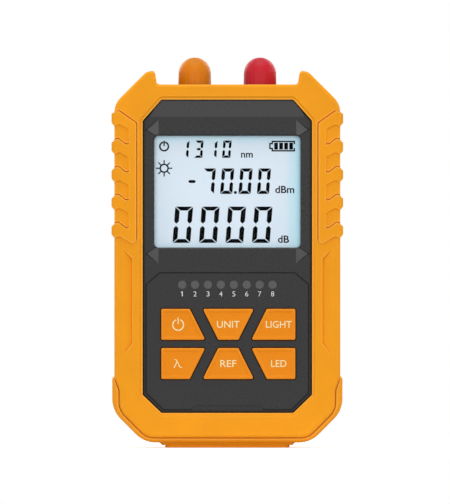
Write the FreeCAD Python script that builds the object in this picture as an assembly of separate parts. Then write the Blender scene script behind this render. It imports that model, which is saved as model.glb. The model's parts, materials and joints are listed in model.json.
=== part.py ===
import FreeCAD, Part
import math
import os

# Handheld optical power meter with a visual fault laser and a network cable tester,
# in a moulded rubber jacket. It stands on the jacket's foot: +Z up, the display faces -Y,
# the origin is the middle of the footprint. All sizes are in millimetres.

Vector = FreeCAD.Vector
X_AXIS, Y_AXIS, Z_AXIS = Vector(1, 0, 0), Vector(0, 1, 0), Vector(0, 0, 1)

# ---- fits ----
SLIP = 0.1            # gap between a piece and the seat that holds it
JACKET_FIT = 0.12     # gap between the jacket and the covers
KEY_GAP = 0.3         # gap round a key in its opening
DOOR_GAP = 0.2        # gap round the battery door

# ---- rubber jacket ----
JACKET_HALF = 35.2    # half width of its plain sides
JACKET_TOP = 113.2    # height of its top edge
FACE_DEPTH = 31.0     # front face to back face
SIDE_WALL = 2.4
LIP = 2.0             # thickness over the covers' front and back
FACE_EDGE = 0.9       # rounding of the front and back outlines
TOP_CORNER = 6.0      # drop of the slanted top corners
HORN_RISE = 4.4       # height of the guard horns above the top edge
HORN_INSET = 13.2     # from the side to the horn's inner face
HORN_LEAN = 0.7       # how far the inner face leans outward
HORN_TIP = 2.6        # width of the horn's top
BUMPER_TOP = 22.4     # height of the thick band round the bottom
BUMPER_PROUD = 0.7
BUMPER_FACE = 1.3     # how far the band lies behind the faces
BUMPER_ROUND = 1.9
FACE_INSET = 1.6      # the faces draw in above the band by this much
FACE_BOTTOM = 3.2     # height of the faces' lower edge
FOOT_HALF = 19.4
FOOT_STEP = 1.7       # width of the foot's upper step, each side
FOOT_STEP_Z = 0.8
FOOT_Z = 1.6          # height of the whole foot
FOOT_DEPTH = 22.0
SOCKET_MARGIN = 0.7   # jacket opening beyond the network socket
TOP_OPENING_HALF = 18.6
TOP_OPENING_DEPTH = 15.4
CREASE = (0.35, 0.45)      # width and depth of the creases beside raised edges

# ---- grips on the jacket's sides ----
GRIP_PROUD = 0.5      # above the faces
GRIP_OUT = 0.9        # beyond the sides
GRIP_INNER = 6.8      # from the jacket's side to the grip's inner edge
GRIP_DROP = 8.6       # from the jacket's top edge to the grip's upper end
RIBS = 5
RIB_PITCH = 8.7
RIB_HEIGHT = 4.5
GRIP_TAIL = 1.85       # how far the grip's inner edge reaches past its last rib
POCKET_WALL = 0.4     # width of the pockets' sloping walls
SCOOP_DEPTH = 0.6
SCOOP_WIDTH = 2.85
SCOOP_INNER = 5.6     # from the jacket's side to the scoop's wall
SCOOP_BOTTOM = 28.8
SCOOP_DROP = 3.4     # below the grip's lower end

# ---- window in the jacket, and the panel that fills it ----
FRAME_SIDE = 8.8      # jacket beside the window
FRAME_TOP = 4.7
WINDOW_BOTTOM = 10.85
WINDOW_CUT = 5.85     # width of the window's cut corners
WINDOW_CUT_TOP = 6.6
WINDOW_CUT_BOTTOM = 5.65
BACK_FRAME_SIDE = 10.4
BACK_FRAME_TOP = 9.4
BACK_WINDOW_BOTTOM = 14.0
RIM_SLOPE = 0.5       # width and depth of the slope round the windows
RIM_LEDGE = 0.55

# ---- covers ----
WALL = 2.0
COVER_CUT_BOTTOM = (8.3, 9.1)   # width and height of the covers' lower corners
COVER_BOTTOM = 4.4
PANEL_SUNK = 0.6      # front panel below the jacket's face
BACK_SUNK = 1.5       # back panel below the jacket's face
PANEL_GAP = 0.3       # gap between the panel and the window's edge
PANEL_SIDE_WALL = 1.3
PANEL_BEVEL = (0.6, 0.3)        # width and depth of the bevel round the front panel
FACET_FALL = 0.8      # depth of the corner facets at their outer tips
PANEL_SLOPE = (5.1, 0.6)        # height and depth of the slope at the panel's top
GROOVE = 0.35         # width and depth of the panel's grooves
TONGUE = 0.8
TONGUE_LONG = 1.5
BOSS_R = 2.7
SCREW_X_INSET = 4.4   # cover screws, from the covers' sides
SCREW_Z_TOP = 8.7     # and from the covers' top
SCREW_Z_BOTTOM = 14.6 # and from the covers' bottom
SCREW_R = 1.15
SCREW_HEAD = (2.0, 1.5)         # radius and height
SCREW_BITE = 5.55     # how far the screws reach into the front cover
SCREW_SUNK = 4.0      # depth of the head's recess
SCREW_HOLE_GAP = 0.05

# ---- display ----
DISPLAY_W, DISPLAY_H = 45.5, 34.8   # visible area
DISPLAY_DROP = 11.3   # from the window's top
DISPLAY_CORNER = 1.3
PANE_T = 1.0
PANE_MARGIN = 1.45    # the pane reaches this far behind the panel
GLASS_T = 1.8
GLASS_W, GLASS_H = 47.8, 38.2
GLASS_LEDGE = 2.6     # contact strip along the glass's lower edge
BACKLIGHT_T = 3.0
HOLDER_WALL = 1.1
HOLDER_REST = 0.5     # width of the holder's seat behind the panel's pocket
HOLDER_SHELF = 2.0

# ---- circuit board ----
BOARD_T = 1.6
BOARD_BACK_OF_PANEL = 10.3   # board's front face, behind the panel's face
BOARD_MARGIN = 0.7
BOARD_SCREW_R = 1.0
BOARD_SCREW_HEAD = (1.9, 1.3)
BOARD_SCREW_LONG = 6.0
BOARD_BOSS_R = 2.3

# ---- indicator row ----
LAMPS = 8
LAMP_PITCH = 4.03
LAMP_R = 1.3
LAMP_DROP = 11.6      # below the display
PIPE_BAR = (1.2, 2.4) # thickness and height of the bar that joins the pipes
CHIP_LAMP = (1.6, 0.8, 0.7)

# ---- keys ----
KEY_H = 9.7
KEY_DROP = 7.5        # first row's upper edge, below the indicator row
KEY_ROW_GAP = 2.5
KEY_RIB = 4.0         # panel between neighbouring keys
KEY_SLANT = 4.85
KEY_CENTRE = 6.3      # narrow end of the middle keys
KEY_SIDE = 8.9        # narrow end of the side keys
KEY_CORNER = 0.5
KEY_X = 0.3           # the key field stands this far right of the middle
KEY_MARK = (6.4, 0.7, 0.2)      # bar between the middle keys: width, height, and how proud
KEY_PROUD = 1.0
KEY_EDGE = 0.35       # rounding of the key's rim
KEY_RIM = 0.7         # width of the rim round the key's dished face
KEY_DISH = (0.5, 0.2) # width of the dish's slope, and its depth
KEY_SKIN = 1.4
KEY_FLANGE = (0.9, 0.8)     # width and thickness
KEY_STEM_R = 2.2
MAT_T = 1.5
MAT_MARGIN = 1.8
DOME_R = (4.2, 2.4)   # radius at the foot and at the top
DOME_WALL = 0.6
PILL_R = 1.6
PILL_LIFT = 1.3       # contact pill above the board, more than the keys' 1 mm travel

# ---- optical ports ----
PORT_X = 10.2
BARREL_R = 4.0
BARREL_LONG = 6.2
FLANGE_R = 5.2
FLANGE_T = 1.1
NECK_R = 4.4
SKIRT_R = 4.6
SKIRT_LONG = 7.6
BOARD_TO_PORT = 0.4   # gap between the board and the ports' skirts
FERRULE_R = 1.25      # 2.5 mm ferrule
SLEEVE_WALL = 0.35
SLEEVE_LONG = 10.2
PORT_RECESS_R = 2.7
KEYWAY_W = 2.1
DIODE_CAN = (2.3, 3.4)
DIODE_FLANGE = (2.7, 0.9)
LASER_R = 3.5
LASER_LONG = 22.0
TORCH_R = 2.5
TORCH_FLANGE = (2.9, 1.0)
TORCH_LONG = 5.6
LEAD_R = 0.25
PORT_SCREW_GAP = 0.08

# ---- dust caps ----
CAP_R = 5.15
CAP_DOME_R = 5.05
CAP_H = 9.95
CAP_DEPTH = 6.7
CAP_FIT = 0.1
CAP_FLUTES = 14
CAP_FLUTE_R = 1.6
CAP_FLUTE_DEPTH = 0.14

# ---- network socket ----
SOCKET_W, SOCKET_D, SOCKET_H = 15.9, 12.6, 17.5
PLUG_W, PLUG_T, PLUG_LONG = 11.9, 6.8, 12.8
PLUG_TAB = (6.1, 1.8)
SOCKET_FLOOR = 3.0    # from the board to the plug's space
SOCKET_FRAME = 1.8    # the rear cover's wall runs round the whole socket, this wide
SOCKET_PINS = 8
SOCKET_PITCH = 1.02
PIN_R = 0.2

# ---- battery bay ----
CELLS = 3
CELL_R = 5.2
CELL_LONG = 44.5
BUTTON = (1.9, 0.9)
CELL_GAP = 0.4
SPRING_LONG = 4.5
SPRING_WIRE = 0.3
SPRING_R = (3.5, 2.1)
SPRING_TURNS = 4
CONTACT_T = 0.4
CONTACT_W = 8.2
BAY_WALL = 1.2
BAY_ABOVE_SOCKET = 0.6
DOOR_T = 1.6
DOOR_MARGIN = 1.4     # the door reaches this far past the bay
DOOR_CORNER = 1.4
DOOR_EDGE = 0.25      # rounding of the door's outer edge
DOOR_BEVEL = 0.7      # bevel of the covers below the door, which lets it swing
HINGE_X = 10.0        # the door's two knuckles, from the middle
HINGE_HALF = 3.0      # half length of a knuckle
HINGE_R = 0.5
HINGE_DROP = 0.9      # knuckle's axis below the door
HINGE_WEB = 0.8
HINGE_COVER = 0.15    # how far below its axis the covers start to close in the knuckle
LATCH = (12.0, 3.0)         # width and height
LATCH_CORNER = 0.8

# ---- derived heights and depths ----
FACE = FACE_DEPTH / 2
COVER_HALF = JACKET_HALF - SIDE_WALL
COVER_TOP = JACKET_TOP - SIDE_WALL - 0.2
COVER_FACE = FACE - LIP - SLIP              # front of the covers, as a distance from the middle
PANEL = -(FACE - PANEL_SUNK)                # y of the front panel
PANEL_IN = PANEL + WALL
BACK_PANEL = FACE - BACK_SUNK
WINDOW_HALF = JACKET_HALF - FRAME_SIDE
WINDOW_TOP = JACKET_TOP - FRAME_TOP
DISPLAY_TOP = WINDOW_TOP - DISPLAY_DROP
DISPLAY_BOTTOM = DISPLAY_TOP - DISPLAY_H
DISPLAY_Z = (DISPLAY_TOP + DISPLAY_BOTTOM) / 2
LAMP_Z = DISPLAY_BOTTOM - LAMP_DROP
KEY_TOP = LAMP_Z - KEY_DROP
KEY_MID = KEY_TOP - KEY_H - KEY_ROW_GAP / 2
BOARD_Y = PANEL + BOARD_BACK_OF_PANEL       # front face of the board
BOARD_BACK = BOARD_Y + BOARD_T
PORT_Y = BOARD_BACK + BOARD_TO_PORT + SKIRT_R
PARTING = PORT_Y                            # the covers meet on the ports' axis
FLANGE_Z = COVER_TOP + SLIP / 2
BARREL_Z = FLANGE_Z + FLANGE_T
BARREL_END = BARREL_Z + BARREL_LONG
SKIRT_TOP = COVER_TOP - WALL - SLIP / 2
SKIRT_END = SKIRT_TOP - SKIRT_LONG
SLEEVE_END = BARREL_END - 1.0
CAP_Z = BARREL_Z + SLIP
SOCKET_Z = COVER_BOTTOM + SLIP / 2
SOCKET_TOP = SOCKET_Z + SOCKET_H
SOCKET_Y = BOARD_BACK + SLIP / 2
PLUG_Y = SOCKET_Y + SOCKET_FLOOR
BAY_BOTTOM = SOCKET_TOP + BAY_ABOVE_SOCKET + BAY_WALL
BAY_LONG = CELL_LONG + SPRING_LONG + 2 * CONTACT_T + 4 * SLIP
BAY_TOP = BAY_BOTTOM + BAY_LONG
CELL_PITCH = 2 * CELL_R + CELL_GAP
BAY_HALF = CELL_PITCH * (CELLS - 1) / 2 + CELL_R + 0.3
DOOR_IN = BACK_PANEL - DOOR_T
CELL_Y = DOOR_IN - DOOR_GAP - CELL_R
BAY_FLOOR = CELL_Y - CELL_R - SLIP          # y of the bay's floor
DOOR_HALF = BAY_HALF + DOOR_MARGIN
DOOR_BOTTOM = BAY_BOTTOM - DOOR_MARGIN
DOOR_TOP = BAY_TOP + DOOR_MARGIN
HINGE_Y = DOOR_IN + SLIP + HINGE_WEB / 2
HINGE_Z = DOOR_BOTTOM - HINGE_DROP


# ---- helpers ----
def cut_corners(right_side):
    """The whole outline, as corners (x, z, radius), from its right side read upwards."""
    return right_side + [(-x, z, r) for x, z, r in reversed(right_side)]


def inset(corners, distance):
    """The same outline with every side moved in by distance; its roundings shrink with it."""
    count = len(corners)
    moved = []
    for i, (x, z, radius) in enumerate(corners):
        before, after = corners[i - 1], corners[(i + 1) % count]
        a = Vector(x - before[0], 0, z - before[1]).normalize()
        b = Vector(after[0] - x, 0, after[1] - z).normalize()
        normal_a, normal_b = Vector(-a.z, 0, a.x), Vector(-b.z, 0, b.x)
        middle = normal_a + normal_b
        step = middle * (2 * distance / middle.dot(middle))
        turn = a.x * b.z - a.z * b.x
        inner = radius - distance if turn > 0 else radius + distance
        moved.append((x + step.x, z + step.z, max(inner, 0.2) if radius else 0))
    return moved


def outline(corners, y):
    """Closed wire at depth y, with a tangent arc at each rounded corner."""
    count = len(corners)
    entries, exits, arcs = [], [], []
    for i, (x, z, radius) in enumerate(corners):
        corner = Vector(x, y, z)
        to_before = (Vector(corners[i - 1][0], y, corners[i - 1][1]) - corner).normalize()
        following = corners[(i + 1) % count]
        to_after = (Vector(following[0], y, following[1]) - corner).normalize()
        half = to_before.getAngle(to_after) / 2
        straight = radius == 0 or half > math.pi / 2 - 1e-4
        run = 0 if straight else radius / math.tan(half)
        entries.append(corner + to_before * run)
        exits.append(corner + to_after * run)
        if straight:
            arcs.append(None)
        else:
            inwards = (to_before + to_after).normalize()
            middle = corner + inwards * (radius / math.sin(half) - radius)
            arcs.append(Part.Arc(entries[i], middle, exits[i]).toShape())
    edges = []
    for i in range(count):
        if arcs[i]:
            edges.append(arcs[i])
        start, end = exits[i], entries[(i + 1) % count]
        if start.distanceToPoint(end) > 1e-6:
            edges.append(Part.LineSegment(start, end).toShape())
    return Part.Wire(edges)


def prism(corners, y0, y1):
    return Part.Face(outline(corners, y0)).extrude(Y_AXIS * (y1 - y0))


def box(x0, x1, y0, y1, z0, z1):
    return Part.makeBox(x1 - x0, y1 - y0, z1 - z0, Vector(x0, y0, z0))


def rectangle(x0, x1, z0, z1, radius):
    return [(x0, z0, radius), (x1, z0, radius), (x1, z1, radius), (x0, z1, radius)]


def upright(radius, z0, z1, x=0, y=0):
    return Part.makeCylinder(radius, z1 - z0, Vector(x, y, z0), Z_AXIS)


def level(radius, y0, y1, x=0, z=0):
    return Part.makeCylinder(radius, y1 - y0, Vector(x, y0, z), Y_AXIS)


def across(radius, x0, x1, y, z):
    return Part.makeCylinder(radius, x1 - x0, Vector(x0, y, z), X_AXIS)


def turned(profile, x, y):
    """Solid of revolution about the vertical line at x, y, from points (radius, z)."""
    points = [Vector(r, 0, z) for r, z in profile]
    face = Part.Face(Part.makePolygon(points + points[:1]))
    return face.revolve(Vector(0, 0, 0), Z_AXIS, 360).translated(Vector(x, y, 0))


def both_sides(shape):
    return shape.fuse(shape.mirror(Vector(0, 0, 0), X_AXIS))


def slab_block(half_x, y0, y1, z0, z1, radius):
    """Upright block with rounded vertical edges, centred on x = 0."""
    block = box(-half_x, half_x, y0, y1, z0, z1)
    corners = [e for e in block.Edges if e.BoundBox.ZLength > (z1 - z0) / 2]
    return block.makeFillet(radius, corners)


def edges_at_y(shape, y):
    return [e for e in shape.Edges
            if abs(e.BoundBox.YMin - y) < 1e-4 and abs(e.BoundBox.YMax - y) < 1e-4]


def edges_at_z(shape, z):
    return [e for e in shape.Edges
            if abs(e.BoundBox.ZMin - z) < 1e-4 and abs(e.BoundBox.ZMax - z) < 1e-4]


def bent_lead(points, radius):
    """Round wire through points, with a ball at each bend."""
    lead = None
    for start, end in zip(points, points[1:]):
        run = end - start
        piece = Part.makeCylinder(radius, run.Length, start, run)
        lead = piece if lead is None else lead.fuse(piece)
    for bend in points[1:-1]:
        lead = lead.fuse(Part.makeSphere(radius, bend))
    return lead


# ---- outlines ----
def face_corners():
    """Outline of the jacket's front and back faces, with the guard horns."""
    low = JACKET_HALF - FACE_INSET
    horn_top = JACKET_TOP + HORN_RISE
    horn_in = JACKET_HALF - HORN_INSET
    shoulder = horn_in + HORN_LEAN + HORN_TIP
    return cut_corners([
        (low - 8.5, FACE_BOTTOM, 5.5),
        (low, FACE_BOTTOM + 8.5, 6.0),
        (low, BUMPER_TOP - 4.5, 3.0),
        (JACKET_HALF, BUMPER_TOP - 0.2, 3.0),
        (JACKET_HALF, JACKET_TOP - TOP_CORNER, 6.5),
        (shoulder, JACKET_TOP - TOP_CORNER + JACKET_HALF - shoulder, 3.0),
        (horn_in + HORN_LEAN, horn_top, 0.9),
        (horn_in, JACKET_TOP, 1.3),
    ])


def bumper_corners():
    out = JACKET_HALF + BUMPER_PROUD
    return cut_corners([
        (out - 10.0, FOOT_Z, 8.5),
        (out, FOOT_Z + 10.0, 9.0),
        (out, BUMPER_TOP - 0.7, 0.6),
        (JACKET_HALF - 0.7, BUMPER_TOP + 0.5, 0),
    ])


def cover_corners():
    cut_x, cut_z = COVER_CUT_BOTTOM
    diagonal = JACKET_HALF + JACKET_TOP - TOP_CORNER - SIDE_WALL * math.sqrt(2)
    return cut_corners([
        (COVER_HALF - cut_x, COVER_BOTTOM, 3.0),
        (COVER_HALF, COVER_BOTTOM + cut_z, 3.5),
        (COVER_HALF, diagonal - COVER_HALF, 4.5),
        (diagonal - COVER_TOP, COVER_TOP, 2.6),
    ])


def window_corners():
    return cut_corners([
        (WINDOW_HALF - WINDOW_CUT, WINDOW_BOTTOM, 0.9),
        (WINDOW_HALF, WINDOW_BOTTOM + WINDOW_CUT_BOTTOM, 0.9),
        (WINDOW_HALF, WINDOW_TOP - WINDOW_CUT_TOP, 0.9),
        (WINDOW_HALF - WINDOW_CUT, WINDOW_TOP, 0.9),
    ])


def back_window_corners():
    half, top = JACKET_HALF - BACK_FRAME_SIDE, JACKET_TOP - BACK_FRAME_TOP
    return cut_corners([
        (half - WINDOW_CUT, BACK_WINDOW_BOTTOM, 0.9),
        (half, BACK_WINDOW_BOTTOM + WINDOW_CUT, 0.9),
        (half, top - WINDOW_CUT, 0.9),
        (half - WINDOW_CUT, top, 0.9),
    ])


def grip_top():
    return JACKET_TOP - GRIP_DROP


def grip_bottom():
    return grip_top() - RIB_HEIGHT - RIB_PITCH * (RIBS - 1)


def grip_corners():
    """Left grip without its pockets; it overlaps the jacket's side and reaches beyond it."""
    side = -JACKET_HALF
    inner = side + GRIP_INNER
    top, bottom = grip_top(), grip_bottom()
    return [
        (side - 3, bottom + 4.0, 0),
        (side, bottom, 0.5),
        (side + 1.6, bottom + 0.7, 1.2),
        (inner - 1.0, bottom - GRIP_TAIL, 0.8),
        (inner, bottom - GRIP_TAIL + 1.1, 0.6),
        (inner, top - 3.5, 0.8),
        (side + 1.3, top + 0.4, 1.0),
        (side, top, 0.5),
        (side - 3, top - 1.8, 0),
    ]


def pocket_corners(rib):
    """Hollow under one rib of the left grip, open to the side; it curls under the next rib."""
    side = -JACKET_HALF
    low = grip_top() - RIB_PITCH * (rib + 1)
    high = low + RIB_PITCH - RIB_HEIGHT
    return [
        (side - 3, low - 3.0, 0),
        (side, low, 0.5),
        (side + 1.1, low + 0.5, 1.0),
        (side + 3.4, low - 1.3, 0.7),
        (side + 4.5, low - 1.5, 0.5),
        (side + 4.5, high - 0.7, 1.0),
        (side + 1.4, high + 0.9, 1.2),
        (side, high, 0.5),
        (side - 3, high + 4.0, 0),
    ]


# ---- rubber jacket ----
def jacket_body():
    body = prism(face_corners(), -FACE, FACE)
    body = body.makeFillet(FACE_EDGE, edges_at_y(body, -FACE) + edges_at_y(body, FACE))
    depth = FACE - BUMPER_FACE
    band = prism(bumper_corners(), -depth, depth)
    rounded = [e for e in edges_at_y(band, -depth) + edges_at_y(band, depth)
               if e.BoundBox.ZMin < BUMPER_TOP]
    band = band.makeFillet(BUMPER_ROUND, rounded)
    return body.fuse(band)


def pocket(corners):
    """Tool for one pocket of the left grip: straight through at the side, sloping in front."""
    depth = FACE + GRIP_PROUD
    wrap = prism(corners, -depth - 1, depth + 1)
    wrap = wrap.common(box(-JACKET_HALF - 4, -JACKET_HALF, -depth - 1, depth + 1, 0, JACKET_TOP))
    floor = outline(inset(corners, POCKET_WALL), -FACE)
    front = Part.makeLoft([outline(corners, -depth - 0.01), floor], True, True)
    return wrap.fuse(front).fuse(front.mirror(Vector(0, 0, 0), Y_AXIS))


def jacket_grip():
    """One side grip: a raised plate with finger ribs that wrap round the side."""
    depth = FACE + GRIP_PROUD
    half = JACKET_HALF + GRIP_OUT
    plate = prism(grip_corners(), -depth, depth)
    for rib in range(RIBS - 1):
        plate = plate.cut(pocket(pocket_corners(rib)))
    envelope = box(-half, 0, -depth, depth, 0, JACKET_TOP)
    sides = [e for e in envelope.Edges if e.BoundBox.ZLength > 1 and e.BoundBox.XMax < -1]
    envelope = envelope.makeFillet(1.5, sides)
    return plate.common(envelope)


def moved(corners, right, up):
    return [(x + right, z + up, radius) for x, z, radius in corners]


def jacket_creases():
    """Fine creases in front: beside the left grip, above its ribs, and round the lower face."""
    width, depth = CREASE
    floor = -FACE + depth
    grip = prism(moved(grip_corners(), width, width * 0.7), -FACE - 1, floor)
    creases = grip.cut(prism(grip_corners(), -FACE - 2, 0))
    for rib in range(RIBS - 1):
        corners = pocket_corners(rib)
        strip = prism(corners, -FACE - GRIP_PROUD - 1, floor)
        strip = strip.cut(prism(moved(corners, 0, width), -FACE - GRIP_PROUD - 2, 0))
        creases = creases.fuse(strip)
    floor = -FACE + BUMPER_FACE + depth
    ring = prism(inset(face_corners(), -width), -FACE - 1, floor)
    ring = ring.cut(prism(face_corners(), -FACE - 2, 0))
    ring = ring.common(box(-JACKET_HALF - 2, 0, -FACE - 1, 0, 0, BUMPER_TOP - 0.4))
    return creases.fuse(ring)


def jacket_scoop():
    """Shallow hollow under the left grip, deepest at its inner wall."""
    inner = -JACKET_HALF + SCOOP_INNER
    outer = inner - SCOOP_WIDTH
    top = grip_bottom() - SCOOP_DROP
    wedge = Part.Face(Part.makePolygon([
        Vector(outer, -FACE, 0), Vector(inner - 0.3, -FACE + SCOOP_DEPTH, 0),
        Vector(inner, -FACE, 0), Vector(inner, -FACE - 1, 0), Vector(outer, -FACE - 1, 0),
        Vector(outer, -FACE, 0)]))
    wedge = wedge.extrude(Z_AXIS * JACKET_TOP)
    shape = [(outer, SCOOP_BOTTOM, 0), (inner, SCOOP_BOTTOM + 3.9, 0), (inner, top - 3.0, 0),
             (outer, top, 0)]
    return wedge.common(prism(shape, -FACE - 1, 0))


def jacket_foot():
    y0, y1 = -FOOT_DEPTH / 2, FOOT_DEPTH / 2
    upper = slab_block(FOOT_HALF + FOOT_STEP, y0 - 1, y1 + 1, FOOT_STEP_Z, FOOT_Z + 1, 2.0)
    upper = upper.makeChamfer(FOOT_Z - FOOT_STEP_Z - 0.05, edges_at_z(upper, FOOT_STEP_Z))
    lower = slab_block(FOOT_HALF, y0, y1, 0, FOOT_Z, 2.0)
    lower = lower.makeFillet(0.3, edges_at_z(lower, 0))
    return upper.fuse(lower)


def window_cut(corners, side):
    """Tool for a window in the front (side -1) or back (side 1) face, with its sloped rim."""
    hole = prism(corners, side * (FACE + 1), side * (FACE - LIP - 1))
    ledge = inset(corners, -RIM_LEDGE)
    slope = Part.makeLoft([outline(inset(ledge, -RIM_SLOPE * 1.2), side * (FACE + 0.1)),
                           outline(ledge, side * (FACE - RIM_SLOPE))], True, True)
    return hole.fuse(slope)


def rubber_jacket():
    jacket = jacket_body().fuse(both_sides(jacket_grip())).fuse(jacket_foot())
    room = inset(cover_corners(), -JACKET_FIT)
    jacket = jacket.cut(prism(room, -FACE + LIP, FACE - LIP))
    jacket = jacket.cut(window_cut(window_corners(), -1))
    jacket = jacket.cut(window_cut(back_window_corners(), 1))
    marks = both_sides(jacket_scoop().fuse(jacket_creases()))
    jacket = jacket.cut(marks.fuse(marks.mirror(Vector(0, 0, 0), Y_AXIS)))
    top = slab_block(TOP_OPENING_HALF, PORT_Y - TOP_OPENING_DEPTH / 2,
                     PORT_Y + TOP_OPENING_DEPTH / 2, COVER_TOP - 1, JACKET_TOP + 1, 2.5)
    socket = slab_block(SOCKET_W / 2 + SOCKET_MARGIN, SOCKET_Y - SOCKET_MARGIN,
                        SOCKET_Y + SOCKET_D + SOCKET_MARGIN, -1, COVER_BOTTOM + 1, 1.2)
    return jacket.cut(top).cut(socket).removeSplitter()


# ---- covers ----
def screw_places():
    x = COVER_HALF - SCREW_X_INSET
    return [(side * x, z) for side in (-1, 1)
            for z in (COVER_BOTTOM + SCREW_Z_BOTTOM, COVER_TOP - SCREW_Z_TOP)]


def board_screw_places():
    x = COVER_HALF - 6.4
    return [(-x, DISPLAY_BOTTOM - 7.0), (x, DISPLAY_BOTTOM - 7.0),
            (-x + 4.0, COVER_BOTTOM + 7.6), (x - 4.0, COVER_BOTTOM + 7.6)]


def lamp_places():
    return [(i - (LAMPS - 1) / 2) * LAMP_PITCH for i in range(LAMPS)]


def key_outlines():
    """Each key's name and corners. The lower row mirrors the upper one."""
    top, low = KEY_TOP, KEY_TOP - KEY_H
    wide = KEY_CENTRE / 2 + KEY_SLANT
    side_in = wide + KEY_RIB
    side_out = side_in + KEY_SIDE
    r = KEY_CORNER
    middle = [(-KEY_CENTRE / 2, low, r), (KEY_CENTRE / 2, low, r), (wide, top, r),
              (-wide, top, r)]
    left = [(-side_out, low, r), (-side_in + KEY_SLANT, low, r), (-side_in, top, r),
            (-side_out, top, r)]
    right = [(-x, z, c) for x, z, c in reversed(left)]

    def below(corners):
        return [(x, 2 * KEY_MID - z, c) for x, z, c in reversed(corners)]

    rows = {"key_power": left, "key_unit": middle, "key_light": right,
            "key_wavelength": below(left), "key_reference": below(middle),
            "key_led": below(right)}
    return {name: moved(corners, KEY_X, 0) for name, corners in rows.items()}


def key_centre(corners):
    return (sum(x for x, z, r in corners) / len(corners),
            sum(z for x, z, r in corners) / len(corners))


def port_holes():
    """What the two ports and the torch take out of the covers' top wall."""
    z0, z1 = COVER_TOP - WALL - 1, COVER_TOP + 1
    neck = NECK_R + PORT_SCREW_GAP
    holes = upright(neck, z0, z1, -PORT_X, PORT_Y).fuse(upright(neck, z0, z1, PORT_X, PORT_Y))
    return holes.fuse(upright(TORCH_R + PORT_SCREW_GAP, z0, z1, 0, PORT_Y))


def socket_hole():
    return box(-SOCKET_W / 2 - SLIP, SOCKET_W / 2 + SLIP, SOCKET_Y - SLIP,
               SOCKET_Y + SOCKET_D + SLIP, COVER_BOTTOM - 1, COVER_BOTTOM + WALL + 1)


def socket_frame(margin):
    """Tab of the rear cover's bottom wall that runs round the socket, grown by margin."""
    half = SOCKET_W / 2 + SLIP + SOCKET_FRAME + margin
    return box(-half, half, SOCKET_Y - SLIP - SOCKET_FRAME - margin, PARTING + 0.5,
               COVER_BOTTOM - margin, COVER_BOTTOM + WALL + margin)


def display_facet():
    """Triangular facet at the display's upper left corner: it falls away to the outside."""
    x_in, x_out = -DISPLAY_W / 2 + 1.3, -WINDOW_HALF + 0.8
    corner_z = DISPLAY_TOP + 0.1
    shape = [(x_out, corner_z + 1.8, 0), (-DISPLAY_W / 2 + 0.1, corner_z, 0),
             (x_in, corner_z + 0.4, 0), (x_in, corner_z + 4.9, 0)]
    fall = Part.Face(Part.makePolygon([
        Vector(x_in, PANEL, 0), Vector(x_in, PANEL - 1, 0), Vector(x_out, PANEL - 1, 0),
        Vector(x_out, PANEL + FACET_FALL, 0), Vector(x_in, PANEL, 0)]))
    fall = fall.extrude(Z_AXIS * JACKET_TOP)
    upper = fall.common(prism(shape, PANEL - 2, PANEL + 2))
    lower = upper.mirror(Vector(0, 0, DISPLAY_Z), Z_AXIS)
    return both_sides(upper.fuse(lower))


def panel_grooves():
    """Groove round the key field, and the thumb notch under it."""
    half = WINDOW_HALF - 0.9
    top, low = DISPLAY_BOTTOM - 7.7, WINDOW_BOTTOM + 0.8
    field = cut_corners([(half - 5.5, low, 0.4), (half, low + 5.4, 0.4), (half, top - 3.7, 0.4),
                         (half - 4.4, top, 0.4)])
    depth = PANEL + GROOVE
    ring = prism(field, PANEL - 1, depth).cut(prism(inset(field, GROOVE), PANEL - 2, depth + 1))
    notch = cut_corners([(11.6, low + GROOVE, 0.2), (10.2, low + 1.5, 0.4)])
    return ring.fuse(prism(notch, PANEL - 1, depth))


def front_panel(corners):
    """Raised panel that fills the window, bevelled all round, with a bar between the keys."""
    width, depth = PANEL_BEVEL
    panel = prism(corners, PANEL + depth, -COVER_FACE + 0.5)
    bevel = Part.makeLoft([outline(inset(corners, width), PANEL),
                           outline(corners, PANEL + depth)], True, True)
    long, tall, proud = KEY_MARK
    mark = prism(rectangle(KEY_X - long / 2, KEY_X + long / 2, KEY_MID - tall / 2,
                           KEY_MID + tall / 2, tall / 3), PANEL - proud, PANEL + depth)
    return panel.fuse(bevel).fuse(mark)


def front_cover():
    corners, window = cover_corners(), window_corners()
    shell = prism(corners, -COVER_FACE, PARTING)
    shell = shell.makeFillet(1.2, edges_at_y(shell, -COVER_FACE))
    shell = shell.fuse(front_panel(inset(window, PANEL_GAP)))
    hollow = prism(inset(corners, WALL), -COVER_FACE + WALL, PARTING + 1)
    pocket = prism(inset(window, PANEL_GAP + PANEL_SIDE_WALL), PANEL_IN, -COVER_FACE + WALL + 0.1)
    shell = shell.cut(hollow.fuse(pocket))
    for x, z in screw_places():
        shell = shell.fuse(level(BOSS_R, -COVER_FACE + WALL - 0.5, PARTING, x, z))
    for x, z in board_screw_places():
        boss = level(BOARD_BOSS_R, -COVER_FACE + WALL - 0.5, BOARD_Y - SLIP / 2, x, z)
        shell = shell.fuse(boss)
    lip_cut = prism(inset(corners, WALL - TONGUE - SLIP), PARTING - TONGUE_LONG - SLIP, PARTING + 1)
    for x, z in screw_places():
        lip_cut = lip_cut.cut(level(BOSS_R - 0.6, 0, PARTING + 2, x, z))
    shell = shell.cut(lip_cut)
    for x, z in screw_places():
        hole = level(SCREW_R + SCREW_HOLE_GAP, PARTING - 9.5, PARTING + 1, x, z)
        shell = shell.cut(hole)
    for x, z in board_screw_places():
        hole = level(BOARD_SCREW_R + SCREW_HOLE_GAP, BOARD_Y - 5.5, BOARD_Y + 1, x, z)
        shell = shell.cut(hole)
    return shell.cut(front_openings()).removeSplitter()


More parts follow.
